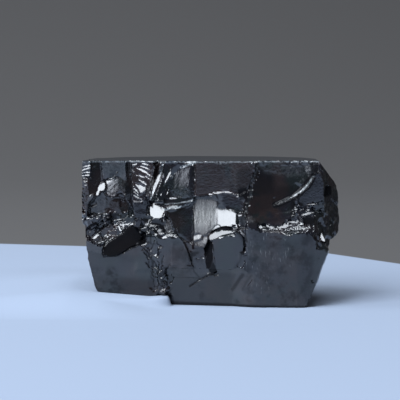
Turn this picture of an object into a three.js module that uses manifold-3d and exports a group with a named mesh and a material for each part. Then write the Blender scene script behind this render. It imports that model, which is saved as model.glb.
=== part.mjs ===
// A chunk of elite shungite: a block of glassy carbon stone broken out of its vein, with a sawn top.
// Front is -Y, up is +Z; millimetres.
import * as THREE from "three";
import { ConvexGeometry } from "three/addons/geometries/ConvexGeometry.js";
import { mergeVertices } from "three/addons/utils/BufferGeometryUtils.js";
import Module from "manifold-3d";

const wasm = await Module();
wasm.setup();

// ---- driving sizes ----
const TOP = 45.8; // the sawn face above the rest
const REACH = 40; // how far a cutter stands out of the stone
const CELL = 3.4; // length of the small facets on a rounded scar
const WINDOWARD = { turn: -19, tilt: 24 }; // the way most of the hackles on the front face
const UPWARD = { turn: -6, tilt: 42 }; // the way the ledges face

// ---- tools ----
const radians = THREE.MathUtils.degToRad;
const random = (() => {
  let state = 20;
  return () => {
    state = (state * 1664525 + 1013904223) % 4294967296;
    return state / 4294967296;
  };
})();
const between = (low, high) => low + (high - low) * random();

// The closed solid of a geometry
function solid(geometry) {
  const bare = new THREE.BufferGeometry();
  bare.setAttribute("position", geometry.getAttribute("position").clone());
  if (geometry.index) bare.setIndex(geometry.index.clone());
  const merged = mergeVertices(bare, 1e-4);
  return new wasm.Manifold(new wasm.Mesh({
    numProp: 3,
    vertProperties: merged.attributes.position.array,
    triVerts: new Uint32Array(merged.index.array),
  }));
}

function geometryOf(manifold) {
  const mesh = manifold.getMesh();
  const geometry = new THREE.BufferGeometry();
  geometry.setAttribute("position", new THREE.BufferAttribute(new Float32Array(mesh.vertProperties), 3));
  geometry.setIndex(new THREE.BufferAttribute(new Uint32Array(mesh.triVerts), 1));
  geometry.computeVertexNormals();
  return geometry;
}

const carve = (stone, cutters) => cutters.reduce((left, cutter) => left.subtract(cutter), stone);

// A straight-sided cutter. outline: its corners as [x, z] seen from the front, going round;
// depth, turn, tilt: where its flat floor lies at a point, and which way that floor faces;
// draft: how far its sides lean out; side: 90 cuts from the right, 180 from the back, -90 from the left,
// with x then running along that side.
function hewn(outline, { at: [x0, z0], depth, turn = 0, tilt = 0, draft = 6, side = 0 }) {
  const corners = outline.map(([x, z]) => new THREE.Vector2(x, z));
  if (THREE.ShapeUtils.area(corners) < 0) corners.reverse();
  const centre = corners.reduce((sum, p) => sum.add(p), new THREE.Vector2()).divideScalar(corners.length);
  const size = corners.reduce((sum, p) => sum + p.distanceTo(centre), 0) / corners.length;
  const grow = 1 + (Math.tan(radians(draft)) * REACH) / size;
  const floorAt = (p) => depth + Math.tan(radians(turn)) * (p.x - x0)
    + (Math.tan(radians(tilt)) / Math.cos(radians(turn))) * (p.y - z0);
  const floor = corners.map((p) => [p.x, floorAt(p), p.y]);
  const mouth = corners.map((p) => {
    const q = p.clone().sub(centre).multiplyScalar(grow).add(centre);
    return [q.x, floorAt(p) - REACH, q.y];
  });
  const n = corners.length;
  const caps = THREE.ShapeUtils.triangulateShape(corners, []);
  const faces = [
    ...caps.map(([a, b, c]) => [a + n, b + n, c + n]),
    ...caps.map(([a, b, c]) => [c, b, a]),
    ...corners.flatMap((_, i) => {
      const j = (i + 1) % n;
      return [[i, j, j + n], [i, j + n, i + n]];
    }),
  ];
  const geometry = new THREE.BufferGeometry();
  geometry.setAttribute("position", new THREE.Float32BufferAttribute([...floor, ...mouth].flat(), 3));
  geometry.setIndex(faces.flat());
  return solid(geometry.rotateZ(radians(side)));
}

// A rounded cutter
function scoop({ at, radii, spin = [0, 0, 0] }) {
  const detail = Math.max(3, Math.round(Math.max(...radii) / CELL));
  const ball = new THREE.IcosahedronGeometry(1, detail).scale(...radii);
  ball.rotateX(radians(spin[0])).rotateY(radians(spin[1])).rotateZ(radians(spin[2]));
  return solid(ball.translate(...at));
}

// Everything outside a flat break through a point
function outside({ at, turn, tilt }) {
  const block = new THREE.BoxGeometry(200, 200, 100).translate(0, 0, 50);
  const out = new THREE.Vector3(
    Math.sin(radians(turn)) * Math.cos(radians(tilt)),
    -Math.cos(radians(turn)) * Math.cos(radians(tilt)),
    Math.sin(radians(tilt)),
  );
  const spin = new THREE.Quaternion().setFromUnitVectors(new THREE.Vector3(0, 0, 1), out);
  return solid(block.applyQuaternion(spin).translate(...at));
}
const notch = (...faces) => faces.map(outside).reduce((a, b) => a.intersect(b));

// Depth of the stone's skin at a point, seen from the front or from another side
function skin(stone, side = 0) {
  const geometry = geometryOf(stone).rotateZ(radians(-side));
  const mesh = new THREE.Mesh(geometry, new THREE.MeshBasicMaterial({ side: THREE.DoubleSide }));
  const ray = new THREE.Raycaster();
  return (x, z) => {
    ray.set(new THREE.Vector3(x, -2 * REACH, z), new THREE.Vector3(0, 1, 0));
    const [hit] = ray.intersectObject(mesh);
    return hit ? hit.point.y : 0;
  };
}

// Narrow facets along a line across the front, all facing one way: a hackle, a lip or a crack.
// path: [x, z] points; width: across the line; bite: how far it goes in at its middle.
function ribbon(depthAt, path, { width, bite = 0.2, turn, tilt, draft = 10, side = 0 }) {
  return path.slice(1).map(([x1, z1], i) => {
    const [x0, z0] = path[i];
    const along = new THREE.Vector2(x1 - x0, z1 - z0).normalize();
    const half = new THREE.Vector2(-along.y, along.x).multiplyScalar(width / 2);
    const lap = along.multiplyScalar(0.05);
    const middle = [(x0 + x1) / 2, (z0 + z1) / 2];
    const outline = [
      [x0 + half.x - lap.x, z0 + half.y - lap.y],
      [x1 + half.x + lap.x, z1 + half.y + lap.y],
      [x1 - half.x + lap.x, z1 - half.y + lap.y],
      [x0 - half.x - lap.x, z0 - half.y - lap.y],
    ];
    return hewn(outline, { at: middle, depth: depthAt(...middle) + bite, turn, tilt, draft, side });
  });
}

// Small chips broken out along a line
function nibble(depthAt, path, { every, size, side = 0 }) {
  const chips = [];
  path.slice(1).forEach(([x1, z1], i) => {
    const [x0, z0] = path[i];
    const count = Math.max(1, Math.round(Math.hypot(x1 - x0, z1 - z0) / every));
    for (let k = 0; k < count; k += 1) {
      const t = (k + between(0.15, 0.85)) / count;
      const x = x0 + (x1 - x0) * t;
      const z = z0 + (z1 - z0) * t;
      const r = size * between(0.6, 1.4);
      const chip = new THREE.OctahedronGeometry(r).scale(between(1, 2), 1, between(0.6, 1.2));
      chip.rotateX(between(0, 6.3)).rotateY(between(0, 6.3)).rotateZ(between(0, 6.3));
      chips.push(solid(chip.translate(x, depthAt(x, z) - r * 0.2, z).rotateZ(radians(side))));
    }
  });
  return chips;
}

// A patch of small broken facets facing every way, within an outline
function rubble(depthAt, outline, { count, size, bite = 0.7, turn, tilt, side = 0 }) {
  const xs = outline.map(([x]) => x);
  const zs = outline.map(([, z]) => z);
  const inside = (x, z) => outline.reduce((odd, [x1, z1], i) => {
    const [x0, z0] = outline[(i + outline.length - 1) % outline.length];
    return (z0 > z) !== (z1 > z) && x < x0 + ((x1 - x0) * (z - z0)) / (z1 - z0) ? !odd : odd;
  }, false);
  const facets = [];
  while (facets.length < count) {
    const x = between(Math.min(...xs), Math.max(...xs));
    const z = between(Math.min(...zs), Math.max(...zs));
    if (!inside(x, z)) continue;
    const r = size * between(0.6, 1.4);
    const start = between(0, 6.3);
    const corners = [0, 1.4, 2.9, 4.6].map((step) => {
      const angle = start + step + between(-0.4, 0.4);
      return [x + r * Math.cos(angle), z + r * between(0.7, 1.2) * Math.sin(angle)];
    });
    facets.push(hewn(corners, {
      at: [x, z], depth: depthAt(x, z) + bite * between(0.3, 1), draft: 24, side,
      turn: between(...turn), tilt: between(...tilt),
    }));
  }
  return facets;
}

// ---- the block ----
const ring = (z, ...points) => points.map(([x, y]) => new THREE.Vector3(x, y, z));
const block = solid(new ConvexGeometry([
  ...ring(TOP, [-40.1, 6.6], [-39.8, 14], [-37, 27], [-22, 40], [5, 45], [20, 42], [31, 31], [34.8, 22],
    [34.4, 6], [16, 3.6], [-4, 3.6], [-26, 4.6]),
  ...ring(38.5, [40.3, 12], [40.5, 20]),
  ...ring(35, [41.5, 15], [41.5, 22]),
  ...ring(23, [41.6, 13], [41.5, 21]),
  ...ring(27, [-40.7, 9], [-40.4, 16]),
  ...ring(25, [34, 0.5], [10, -0.5], [-8, 1.6], [-26, 4], [30, 42], [0, 46], [-25, 42], [-39, 28]),
  ...ring(18, [37.4, 3.5], [38.2, 20], [-39.4, 8], [-39.5, 16]),
  ...ring(6, [-36.6, 6.5], [-36.5, 20]),
  ...ring(0, [30.2, 0.3], [30.5, 14], [29, 30], [22, 40], [5, 43], [-25, 38], [-34, 25], [-33, 7],
    [-12, 4], [10, 1]),
]));

// ---- the main breaks on the front, from the bottom right round to the top right ----
const lowerRight = [
  hewn([[11, -2], [27, -2], [28, 26], [11, 26]],
    { at: [22, 12], depth: 0.4, turn: -2, tilt: -3, draft: 20 }),
  hewn([[27, -2], [36, -2], [44, 26], [28, 26]],
    { at: [27.5, 12], depth: 0.3, turn: 9, tilt: -2, draft: 20 }),
  hewn([[-14, -2], [7, -2], [7, 12], [-14, 12]],
    { at: [10, 6], depth: 3.4, turn: -10, tilt: -3, draft: 2 }),
  hewn([[6.9, -2], [14.2, -2], [14.2, 10], [9, 13], [6.9, 12]],
    { at: [14, 6], depth: 0.8, turn: -24, tilt: -3, draft: 2 }),
];
// the round boss in the middle, its dark flank and the ledge over it
const boss = [
  hewn([[0.8, 20.8], [0.2, 24], [11.2, 26], [11.6, 18], [10.4, 13], [6, 11], [2.3, 10.6], [1.6, 14]],
    { at: [6, 17], depth: 1.0, turn: -3, tilt: -2, draft: 1 }),
  hewn([[0.9, 20.8], [-0.6, 21], [-1.5, 18.6], [-1.1, 12.5], [0.3, 10.2], [2.4, 10.6], [1.6, 14],
    [0.8, 18]],
    { at: [1, 16], depth: 1.3, turn: -62, tilt: 12, draft: 1 }),
  hewn([[-0.6, 21], [0.9, 20.8], [2.5, 21.9], [4.2, 22.5], [6, 22.8], [7.8, 22.5], [8.6, 25.4], [4, 25.6],
    [-0.4, 24]],
    { at: [4, 22.6], depth: 1.3, ...UPWARD, draft: 1 }),
];
const middleLeft = [
  hewn([[-22, 20], [-19, 27], [-10, 27], [-4, 22], [-4, 9], [-13, 9]],
    { at: [-8, 15], depth: 4.0, turn: -5, tilt: -2, draft: 1 }),
  hewn([[-5.9, 15.2], [-6.8, 17], [-9.8, 24], [0, 24], [-1.4, 18], [-1.0, 12.5], [0.3, 10.2], [-2.8, 8.6],
    [-4.8, 12]],
    { at: [-3, 12], depth: 5.2, turn: -8, tilt: -1, draft: 3 }),
  // small faces above it
  hewn([[-20, 27], [-14.6, 28], [-13, 24.6], [-17, 22.6], [-20.6, 23]],
    { at: [-17, 25], depth: 5.6, turn: 12, tilt: 14, draft: 8 }),
  hewn([[-13.9, 28.4], [-11.8, 27.6], [-10.4, 23], [-14, 23.4]],
    { at: [-12, 25], depth: 5.4, turn: -14, tilt: 16, draft: 6 }),
];
const lowerLeft = [
  hewn([[-22.4, 22], [-17, 22], [-16, 15], [-11.6, 9.5], [-12.6, -1], [-18, -1]],
    { at: [-16, 12], depth: 5.4, turn: -24, tilt: -1, draft: 4 }),
  hewn([[-46, 19], [-33, 16], [-23, 20], [-20, 18.6], [-17.8, 12], [-14.6, 6], [-14, -1], [-46, -1]],
    { at: [-26, 12], depth: 7.4, turn: -4, tilt: -3, draft: 8 }),
  // underside of the left end
  notch({ at: [-14, 10, 2.2], turn: -90, tilt: -84.6 }, { at: [-13, 10, 2.2], turn: -90, tilt: -20 }),
  // the dark band and the chipped ledge over it
  hewn([[-34.2, 16.4], [-33, 20.6], [-30, 22], [-26, 24.8], [-24.5, 25.3], [-20.4, 23], [-20.6, 19.6],
    [-25, 18.2], [-29.5, 15.4], [-33.5, 15]],
    { at: [-27, 17], depth: 7.8, turn: 10, tilt: 16, draft: 3 }),
  hewn([[-38, 20.6], [-33, 20.6], [-30, 22], [-26, 24.8], [-24.3, 25.5], [-25, 27], [-31, 26.6],
    [-35.5, 25.6], [-37.6, 23]],
    { at: [-30, 22.4], depth: 8.8, turn: -4, tilt: 27, draft: 14 }),
];
const upperLeft = [
  hewn([[-37, 47], [-34.5, 47], [-33.4, 40], [-34, 38.6], [-36, 35.6], [-38.3, 34.6], [-39, 38]],
    { at: [-34, 40], depth: 9.8, turn: 36, tilt: 4, draft: 4 }),
  hewn([[-34.6, 47], [-26.2, 47], [-26.4, 39.6], [-33.6, 39.6]],
    { at: [-30, 42], depth: 9.0, turn: 1, tilt: -2, draft: 3 }),
  hewn([[-33.8, 40], [-26.3, 40], [-26.8, 33.4], [-32, 34.2]],
    { at: [-30, 37], depth: 9.4, turn: -10, tilt: 14, draft: 3 }),
  hewn([[-38.6, 28.6], [-37.6, 32.6], [-34, 36], [-32.6, 34.4], [-33.2, 28.8]],
    { at: [-35, 32], depth: 9.8, turn: -8, tilt: -2, draft: 14 }),
  hewn([[-33.6, 28.8], [-33, 34.6], [-26.6, 34], [-24, 29], [-25, 26.6], [-30, 27.4], [-34, 27.6]],
    { at: [-30, 31], depth: 10.4, turn: 14, tilt: 5, draft: 3 }),
  // the dark groove, the fan and what is under it
  hewn([[-26.8, 47], [-23.6, 47], [-24.6, 38.6], [-24, 30], [-26.6, 30]],
    { at: [-26, 40], depth: 10.2, turn: 30, tilt: 2, draft: 4 }),
  hewn([[-25, 47], [-14.6, 47], [-19.2, 33], [-24.6, 33]],
    { at: [-20, 40], depth: 8.2, turn: -19, tilt: 9, draft: 4 }),
  hewn([[-24.4, 34], [-19.4, 34.4], [-18.6, 27], [-20.6, 24], [-25, 25.4]],
    { at: [-21, 30], depth: 8.0, turn: 14, tilt: 2, draft: 4 }),
  hewn([[-22.4, 28.4], [-19.2, 32.4], [-18.4, 26.8]],
    { at: [-19, 29], depth: 9.0, turn: 42, tilt: 6, draft: 4 }),
  // the groove beside the fan, and the bright face at its foot
  hewn([[-16.6, 47], [-13.6, 47], [-18.6, 31.6], [-20, 32]],
    { at: [-17, 40], depth: 9.2, turn: 46, tilt: 4, draft: 2 }),
  hewn([[-18.9, 33.2], [-14.4, 33], [-13.9, 30], [-16, 27.2], [-19.1, 27.6]],
    { at: [-17, 30], depth: 6.8, ...WINDOWARD, draft: 4 }),
];
const upperMiddle = [
  // the lip between the hollow and the dark wall
  hewn([[-14.2, 30], [-10, 30.4], [-5, 33], [-4.8, 33.6], [-13.5, 32.4]],
    { at: [-10, 31.4], depth: 4.4, turn: 8, tilt: 12, draft: 6 }),
  hewn([[-15.6, 47], [-4.7, 47], [-5, 33.4], [-7, 32.8], [-13.5, 32.2], [-18.4, 33.4]],
    { at: [-9, 40], depth: 20, draft: 4 })
    .intersect(scoop({ at: [-3, -31.4, 46], radii: [38, 39, 38] })),
  // the flat in the middle, in two planes
  hewn([[-4.8, 47], [8.6, 47], [9, 34.8], [8, 35.4], [6.4, 35.9], [4.6, 36.1], [2.8, 36.1], [1.2, 35.8],
    [-0.2, 35.2], [-4.8, 34.4]],
    { at: [5, 40], depth: 5.9, turn: 0, tilt: 3, draft: 48 }),
  hewn([[8.2, 47], [17.6, 47], [15, 41], [11.6, 34], [9.5, 34.6], [7.6, 35.6]],
    { at: [8.4, 40], depth: 5.4, turn: 10, tilt: 7, draft: 3 }),
];
// the valley below: its dark wall, its pale fluted wall, its bright face, and the hollow under the arc
const valley = [
  hewn([[-14, 30.2], [-10, 30.9], [-5.1, 33], [-5.1, 20], [-8, 20.4], [-10.4, 22.8], [-14, 23]],
    { at: [-5.2, 27], depth: 7.3, turn: 15, tilt: 4, draft: 2 }),
  hewn([[-5.3, 34.4], [-1, 35], [2.2, 35.4], [2.2, 24.2], [0, 22.8], [-1.4, 18], [-5.3, 18]],
    { at: [2, 27], depth: 5.1, turn: -13, tilt: 8, draft: 2 }),
  hewn([[2, 31.4], [4.5, 31.3], [8, 30.6], [11.2, 30], [10.2, 24.4], [7, 24.4], [2, 23.6]],
    { at: [6, 31.2], depth: 5.6, ...WINDOWARD, draft: 4 }),
  hewn([[2, 35.8], [11, 35.8], [11.6, 33], [11.2, 30], [8, 30.6], [4.5, 31.3], [2, 31.4]],
    { at: [6, 31.2], depth: 5.6, turn: -2, tilt: -7, draft: 2 }),
];
const upperRight = [
  // the great hollow
  hewn([[16.4, 47], [15, 41], [13.4, 37], [11, 28], [15.5, 25.6], [20, 25.4], [26, 26], [27, 30],
    [26, 33.6], [28, 35], [30.6, 37.4], [33, 41], [33.4, 47]],
    { at: [22, 36], depth: 30, draft: 4 })
    .intersect(scoop({ at: [24, -45.2, 49], radii: [54, 54, 54] })),
  // the shoulder beyond the crescent, and the flank
  hewn([[24, 33.2], [28.4, 35.2], [31, 37.4], [33.2, 41], [34, 47], [46, 47], [46, 30], [30, 30]],
    { at: [30, 35], depth: 3.4, turn: 26, tilt: -2, draft: 1 }),
  hewn([[36.2, 47], [46, 47], [46, 18], [38, 18], [33, 24.6], [36.4, 31]],
    { at: [36, 30], depth: 7.4, turn: 56, tilt: 6, draft: 1 }),
  hewn([[29, 25.4], [33, 24.6], [37, 18.6], [38, 24], [37, 31], [29, 30.6]],
    { at: [33, 27], depth: 4.4, turn: 34, tilt: 10, draft: 1 }),
  // ledges
  hewn([[21, 24.6], [30, 24.4], [30.5, 26.6], [27, 27.4], [22, 26.6]],
    { at: [25, 25], depth: 1.6, ...UPWARD, draft: 3 }),
  hewn([[28, 28.6], [33, 28.8], [36.4, 30], [33, 31], [28, 30.6]],
    { at: [31, 29.4], depth: 4.4, turn: 10, tilt: 44, draft: 3 }),
  hewn([[30.6, 32], [34.4, 32.2], [34, 33.2], [31, 33.2]],
    { at: [32, 32.4], depth: 5.2, ...UPWARD, draft: 3 }),
  // dark window and bright slab on the flank
  hewn([[36.4, 34.8], [38.6, 35], [38.4, 37.6], [37.2, 37.8]],
    { at: [37.4, 36], depth: 11.4, turn: 20, tilt: 24, draft: 8 }),
  hewn([[34.6, 23.4], [35.4, 23.2], [36.9, 20.4], [36, 20.4], [35, 21.8]],
    { at: [35.6, 22], depth: 4.6, ...WINDOWARD, draft: 8 }),
];

let stone = carve(block, [
  ...lowerRight, ...boss, ...middleLeft, ...lowerLeft,
  ...upperLeft, ...upperMiddle, ...valley, ...upperRight,
]);

// ---- the other sides, each seen from outside ----
const RIGHT = 90;
const BACK = 180;
const LEFT = -90;
const around = [
  // right: the undercut foot, the bulge, the slope to the top, and two breaks turning to the back
  hewn([[0, -3], [21, -3], [25, 19], [16, 21.4], [4, 20]],
    { at: [12, 10], depth: -34.6, turn: 3, tilt: -20, draft: 2, side: RIGHT }),
  hewn([[4, 37], [17, 35], [27, 38], [28, 50], [2, 50]],
    { at: [15, 42], depth: -37.8, turn: 4, tilt: 36, draft: 2, side: RIGHT }),
  hewn([[19, -3], [46, -3], [46, 21], [30, 17], [22, 20]],
    { at: [28, 10], depth: -33.2, turn: 32, tilt: -14, draft: 3, side: RIGHT }),
  hewn([[23, 21], [30, 16], [46, 20], [46, 50], [26, 50], [27, 34]],
    { at: [32, 32], depth: -36.4, turn: 40, tilt: 5, draft: 3, side: RIGHT }),
  // left: upper and lower faces either side of a notch, and two breaks turning to the back
  hewn([[-27, 22], [-5, 22.4], [-5, 50], [-29, 50]],
    { at: [-12, 34], depth: -40.4, turn: -9, tilt: 1, draft: 6, side: LEFT }),
  hewn([[-25, -3], [-5, -3], [-5, 25], [-14, 25.6], [-26, 22]],
    { at: [-12, 12], depth: -38.0, turn: -5, tilt: -6, draft: 6, side: LEFT }),
  hewn([[-46, -3], [-22, -3], [-25, 14], [-24, 23], [-46, 26]],
    { at: [-30, 12], depth: -35.0, turn: -42, tilt: -10, draft: 3, side: LEFT }),
  hewn([[-46, 25], [-24, 22.6], [-27, 36], [-28, 50], [-46, 50]],
    { at: [-30, 36], depth: -34.4, turn: -38, tilt: 7, draft: 3, side: LEFT }),
  // back: six breaks
  hewn([[-15, -3], [9, -3], [12, 12], [10, 25], [2, 31], [-13, 28]],
    { at: [0, 15], depth: -43.0, turn: 4, tilt: -4, draft: 3, side: BACK }),
  hewn([[-17, 27], [-13, 28.4], [2, 31.6], [7, 36], [9, 50], [-21, 50]],
    { at: [-5, 38], depth: -42.0, turn: -7, tilt: 9, draft: 3, side: BACK }),
  hewn([[2, 31], [11, 24], [20, 21], [32, 25], [32, 50], [9, 50], [7, 36]],
    { at: [14, 36], depth: -40.4, turn: 19, tilt: 3, draft: 3, side: BACK }),
  hewn([[8, -3], [12, 13], [10.6, 24], [20, 20.6], [36, 25], [36, -3]],
    { at: [18, 10], depth: -39.2, turn: 26, tilt: -9, draft: 3, side: BACK }),
  hewn([[-42, 19], [-24, 24], [-13, 30], [-20, 50], [-42, 50]],
    { at: [-22, 38], depth: -38.6, turn: -33, tilt: 8, draft: 3, side: BACK }),
  hewn([[-42, -3], [-14, -3], [-12.6, 28.6], [-24, 23.6], [-42, 18]],
    { at: [-20, 10], depth: -40.2, turn: -24, tilt: -7, draft: 3, side: BACK }),
  // the thin edge knocked off between the breaks at the right and at the back
  notch({ at: [29, 37.2, 22.4], turn: 150, tilt: 5 }),
  // a shallow shell break across the middle of the back
  hewn([[-11, 8], [-2, 3], [8, 6], [11, 14], [6, 23], [-5, 25], [-12, 18]],
    { at: [0, 14], depth: -20, draft: 3, side: BACK })
    .intersect(scoop({ at: [1, 79, 15], radii: [38, 38, 38] })),
];
stone = carve(stone, around);

const behind = skin(stone, BACK);
stone = carve(stone, [
  ...ribbon(behind, [[-17, 27.4], [-13, 28.6], [-5, 30.2], [2, 31.6]],
    { width: 1.6, bite: 0.9, ...UPWARD, side: BACK }),
  ...ribbon(behind, [[10, 24], [20, 20.8], [32, 25]], { width: 1.4, bite: 0.8, ...UPWARD, side: BACK }),
  ...rubble(behind, [[-13, 27], [-9, 31], [-16, 38], [-20, 30]],
    { count: 12, size: 1.8, bite: 0.5, turn: [-40, 20], tilt: [-20, 40], side: BACK }),
  ...rubble(behind, [[8, -1], [14, 0], [13, 16], [10, 16]],
    { count: 7, size: 1.6, bite: 0.5, turn: [-10, 50], tilt: [-20, 20], side: BACK }),
  ...nibble(behind, [[-26, 45.8], [26, 45.8]], { every: 5, size: 0.9, side: BACK }),
]);
const fromRight = skin(stone, RIGHT);
const fromLeft = skin(stone, LEFT);
stone = carve(stone, [
  ...rubble(fromRight, [[8, 18], [24, 17], [26, 22], [10, 23]],
    { count: 12, size: 1.8, bite: 0.5, turn: [-30, 40], tilt: [-30, 30], side: RIGHT }),
  ...rubble(fromLeft, [[-24, 20], [-8, 19.6], [-8, 25], [-24, 25]],
    { count: 12, size: 1.8, bite: 0.5, turn: [-40, 30], tilt: [-20, 40], side: LEFT }),
  ...ribbon(fromRight, [[12, 33], [18, 30], [26, 30.6]], { width: 1.2, bite: 0.5, ...UPWARD, side: RIGHT }),
]);

// ---- hackles, lips and cracks on the front ----
let depthAt = skin(stone);
const fan = [
  [[-21.4, 45.3], [-18.2, 44.2]],
  [[-22.2, 44.4], [-20, 43.6], [-18.2, 42.9]],
  [[-22.8, 43.5], [-20.6, 42.4], [-18.8, 40.8]],
  [[-23.5, 41.3], [-20.6, 40.3]],
  [[-22.4, 40.2], [-19.9, 38.2]],
  [[-24.1, 36.9], [-22, 35.2]],
  [[-24.1, 35.4], [-21.8, 33.9]],
  [[-17.6, 44.8], [-15.7, 45.7]],
];
stone = carve(stone, [
  ...fan.flatMap((path) => ribbon(depthAt, path, { width: 0.75, bite: 0.3, ...WINDOWARD })),
  hewn([[-24.2, 39], [-20.3, 38], [-21, 36.2], [-22.3, 35.3]],
    { at: [-22, 37.5], depth: depthAt(-22, 37.5) + 0.4, ...WINDOWARD }),
  // strips beside the groove
  ...ribbon(depthAt, [[-14.9, 45], [-15.2, 42.5], [-16.6, 38.5], [-18.1, 34.4]],
    { width: 0.9, bite: 0.8, ...WINDOWARD }),
  ...ribbon(depthAt, [[-12, 42.9], [-12.9, 40.6], [-14.6, 38.4]], { width: 0.9, bite: 0.5, ...WINDOWARD }),
  ...ribbon(depthAt, [[-10.8, 42.4], [-12.4, 40.4]], { width: 0.4, bite: 0.2, ...WINDOWARD }),
  ...ribbon(depthAt, [[-14.4, 36.4], [-15.8, 35]], { width: 0.4, bite: 0.2, ...WINDOWARD }),
  // the corner's hackles
  ...[43.6, 42.5, 41.7, 40.8].flatMap((z) => ribbon(
    depthAt, [[-40.6, z - 0.5], [-37.4, z + 0.4]], { width: 0.6, bite: 0.4, turn: -16, tilt: 30 },
  )),
  hewn([[-34.5, 39], [-33, 38.8], [-32.7, 36], [-34, 35.4], [-35.4, 34], [-37.7, 32], [-36.4, 35]],
    { at: [-34, 37], depth: depthAt(-33, 37) + 0.6, ...WINDOWARD }),
  // the lip under the hollow
  ...ribbon(depthAt, [[-14.2, 30.7], [-12, 31.3], [-10, 31.3], [-7.2, 32.2], [-5.2, 33.3]],
    { width: 0.7, bite: 0.3, ...UPWARD }),
  ...ribbon(depthAt, [[-13.6, 32.3], [-10, 32.4], [-7, 32.9], [-5, 33.4]],
    { width: 0.35, bite: 0.2, ...UPWARD }),
  // the step running on from the arc
  ...ribbon(depthAt, [[-4.6, 34.3], [-0.2, 35]], { width: 0.3, bite: 0.4, turn: 0, tilt: 12 }),
  // the crescent
  ...ribbon(depthAt, [[20.8, 32], [23, 32.8], [25.3, 33.8]], { width: 0.4, bite: 0.3, ...WINDOWARD }),
  ...ribbon(depthAt, [[25.3, 33.8], [28, 35.4], [30.4, 37.4], [32, 39.4], [33.1, 41.6]],
    { width: 0.8, bite: 0.5, ...WINDOWARD }),
  // the crack across the foot, and the streaks beside it
  ...ribbon(depthAt, [[2.2, 10.8], [0.2, 10], [-2.6, 8.6], [-6, 6.4]],
    { width: 0.5, bite: 0.5, turn: 20, tilt: 14 }),
  ...ribbon(depthAt, [[10.2, 9.8], [7.4, 4.6]], { width: 0.6, bite: 0.3, turn: 30, tilt: 10 }),
  ...ribbon(depthAt, [[12.8, 10], [10.4, 6.2]], { width: 0.5, bite: 0.3, turn: 30, tilt: 10 }),
  // the groove round the right of the boss
  ...ribbon(depthAt, [[7.4, 24.8], [9.8, 24], [11, 21.6], [11.2, 19], [10.4, 16.8]],
    { width: 0.9, bite: 0.8, turn: 36, tilt: 14 }),
  // bright knobs at the foot of the valley
  ...ribbon(depthAt, [[-5.1, 21.4], [-2.8, 22.6]], { width: 1.5, bite: 0.4, ...WINDOWARD }),
  ...ribbon(depthAt, [[-2.4, 19.4], [-0.9, 21.4]], { width: 1.3, bite: 0.4, ...WINDOWARD }),
  // the thin ledge along the foot of the great hollow
  ...ribbon(depthAt, [[15.3, 25.2], [17, 25.9], [20.4, 24.8], [21.4, 25.3]],
    { width: 0.8, bite: 0.5, ...UPWARD }),
  ...ribbon(depthAt, [[22, 24.3], [23.8, 23.4], [26.4, 23.6], [27, 24.4]],
    { width: 0.9, bite: 0.5, turn: 24, tilt: 16 }),
]);

// ---- broken patches and chipped edges ----
depthAt = skin(stone);
stone = carve(stone, [
  ...rubble(depthAt, [[-20.5, 21.5], [-17.5, 21], [-12, 10], [-12.4, 2.6], [-17.6, 3.6], [-19, 11]],
    { count: 26, size: 1.4, bite: 0.4, turn: [-16, 12], tilt: [-9, 6] }),
  ...rubble(depthAt, [[-38, 20.4], [-33, 20.4], [-30, 22.6], [-25, 25.6], [-25.6, 27.4], [-33, 26.6],
    [-38, 23]],
    { count: 26, size: 1.2, bite: 0.2, turn: [-34, 2], tilt: [14, 44] }),
  ...rubble(depthAt, [[-33.6, 40], [-27, 40], [-27, 34], [-32, 34.6]],
    { count: 10, size: 1.6, bite: 0.15, turn: [-22, -2], tilt: [2, 20] }),
  ...rubble(depthAt, [[-20.6, 27], [-13, 27], [-11, 22.6], [-20.6, 22.6]],
    { count: 14, size: 1.1, turn: [-30, 20], tilt: [-10, 50] }),
  ...rubble(depthAt, [[21, 24.8], [30, 24.6], [30, 26.6], [27, 27.8], [22, 26.6]],
    { count: 18, size: 1.0, bite: 0.3, turn: [-30, 10], tilt: [26, 60] }),
  ...rubble(depthAt, [[28, 28], [36, 28], [36, 34], [28, 32]],
    { count: 14, size: 1.0, bite: 0.4, turn: [-20, 40], tilt: [-10, 50] }),
  ...rubble(depthAt, [[36, 18.6], [33.4, 23.6], [38, 28], [40, 26]],
    { count: 8, size: 1.2, bite: 0.5, turn: [0, 60], tilt: [-10, 40] }),
  ...rubble(depthAt, [[-40.6, 29], [-36, 29.6], [-36, 24], [-40.6, 22]],
    { count: 8, size: 1.4, bite: 0.5, turn: [-50, 0], tilt: [-20, 30] }),
  ...nibble(depthAt, [[-40, 45.8], [-16, 45.8]], { every: 1.6, size: 0.6 }),
  ...nibble(depthAt, [[-16, 45.8], [33, 45.8]], { every: 1.5, size: 0.5 }),
  ...nibble(depthAt, [[17, 45.4], [15.2, 41], [13.4, 37.5], [12, 33], [11, 28.4]],
    { every: 0.8, size: 0.36 }),
  ...nibble(depthAt, [[-5, 44.4], [-4.8, 36]], { every: 0.9, size: 0.32 }),
  ...nibble(depthAt, [[30.2, 1], [31, 6], [32.4, 9]], { every: 1.1, size: 0.6 }),
]);

const chunk = new THREE.Mesh(
  geometryOf(stone),
  new THREE.MeshStandardMaterial({ color: 0x24262b, roughness: 0.18, metalness: 0.9 }),
);
chunk.name = "shungite_chunk";
chunk.geometry.computeBoundingBox();
const box = chunk.geometry.boundingBox;
chunk.position.set(-(box.min.x + box.max.x) / 2, -(box.min.y + box.max.y) / 2, -box.min.z);

const group = new THREE.Group();
group.add(chunk);
export default group;
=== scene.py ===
import math

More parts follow.
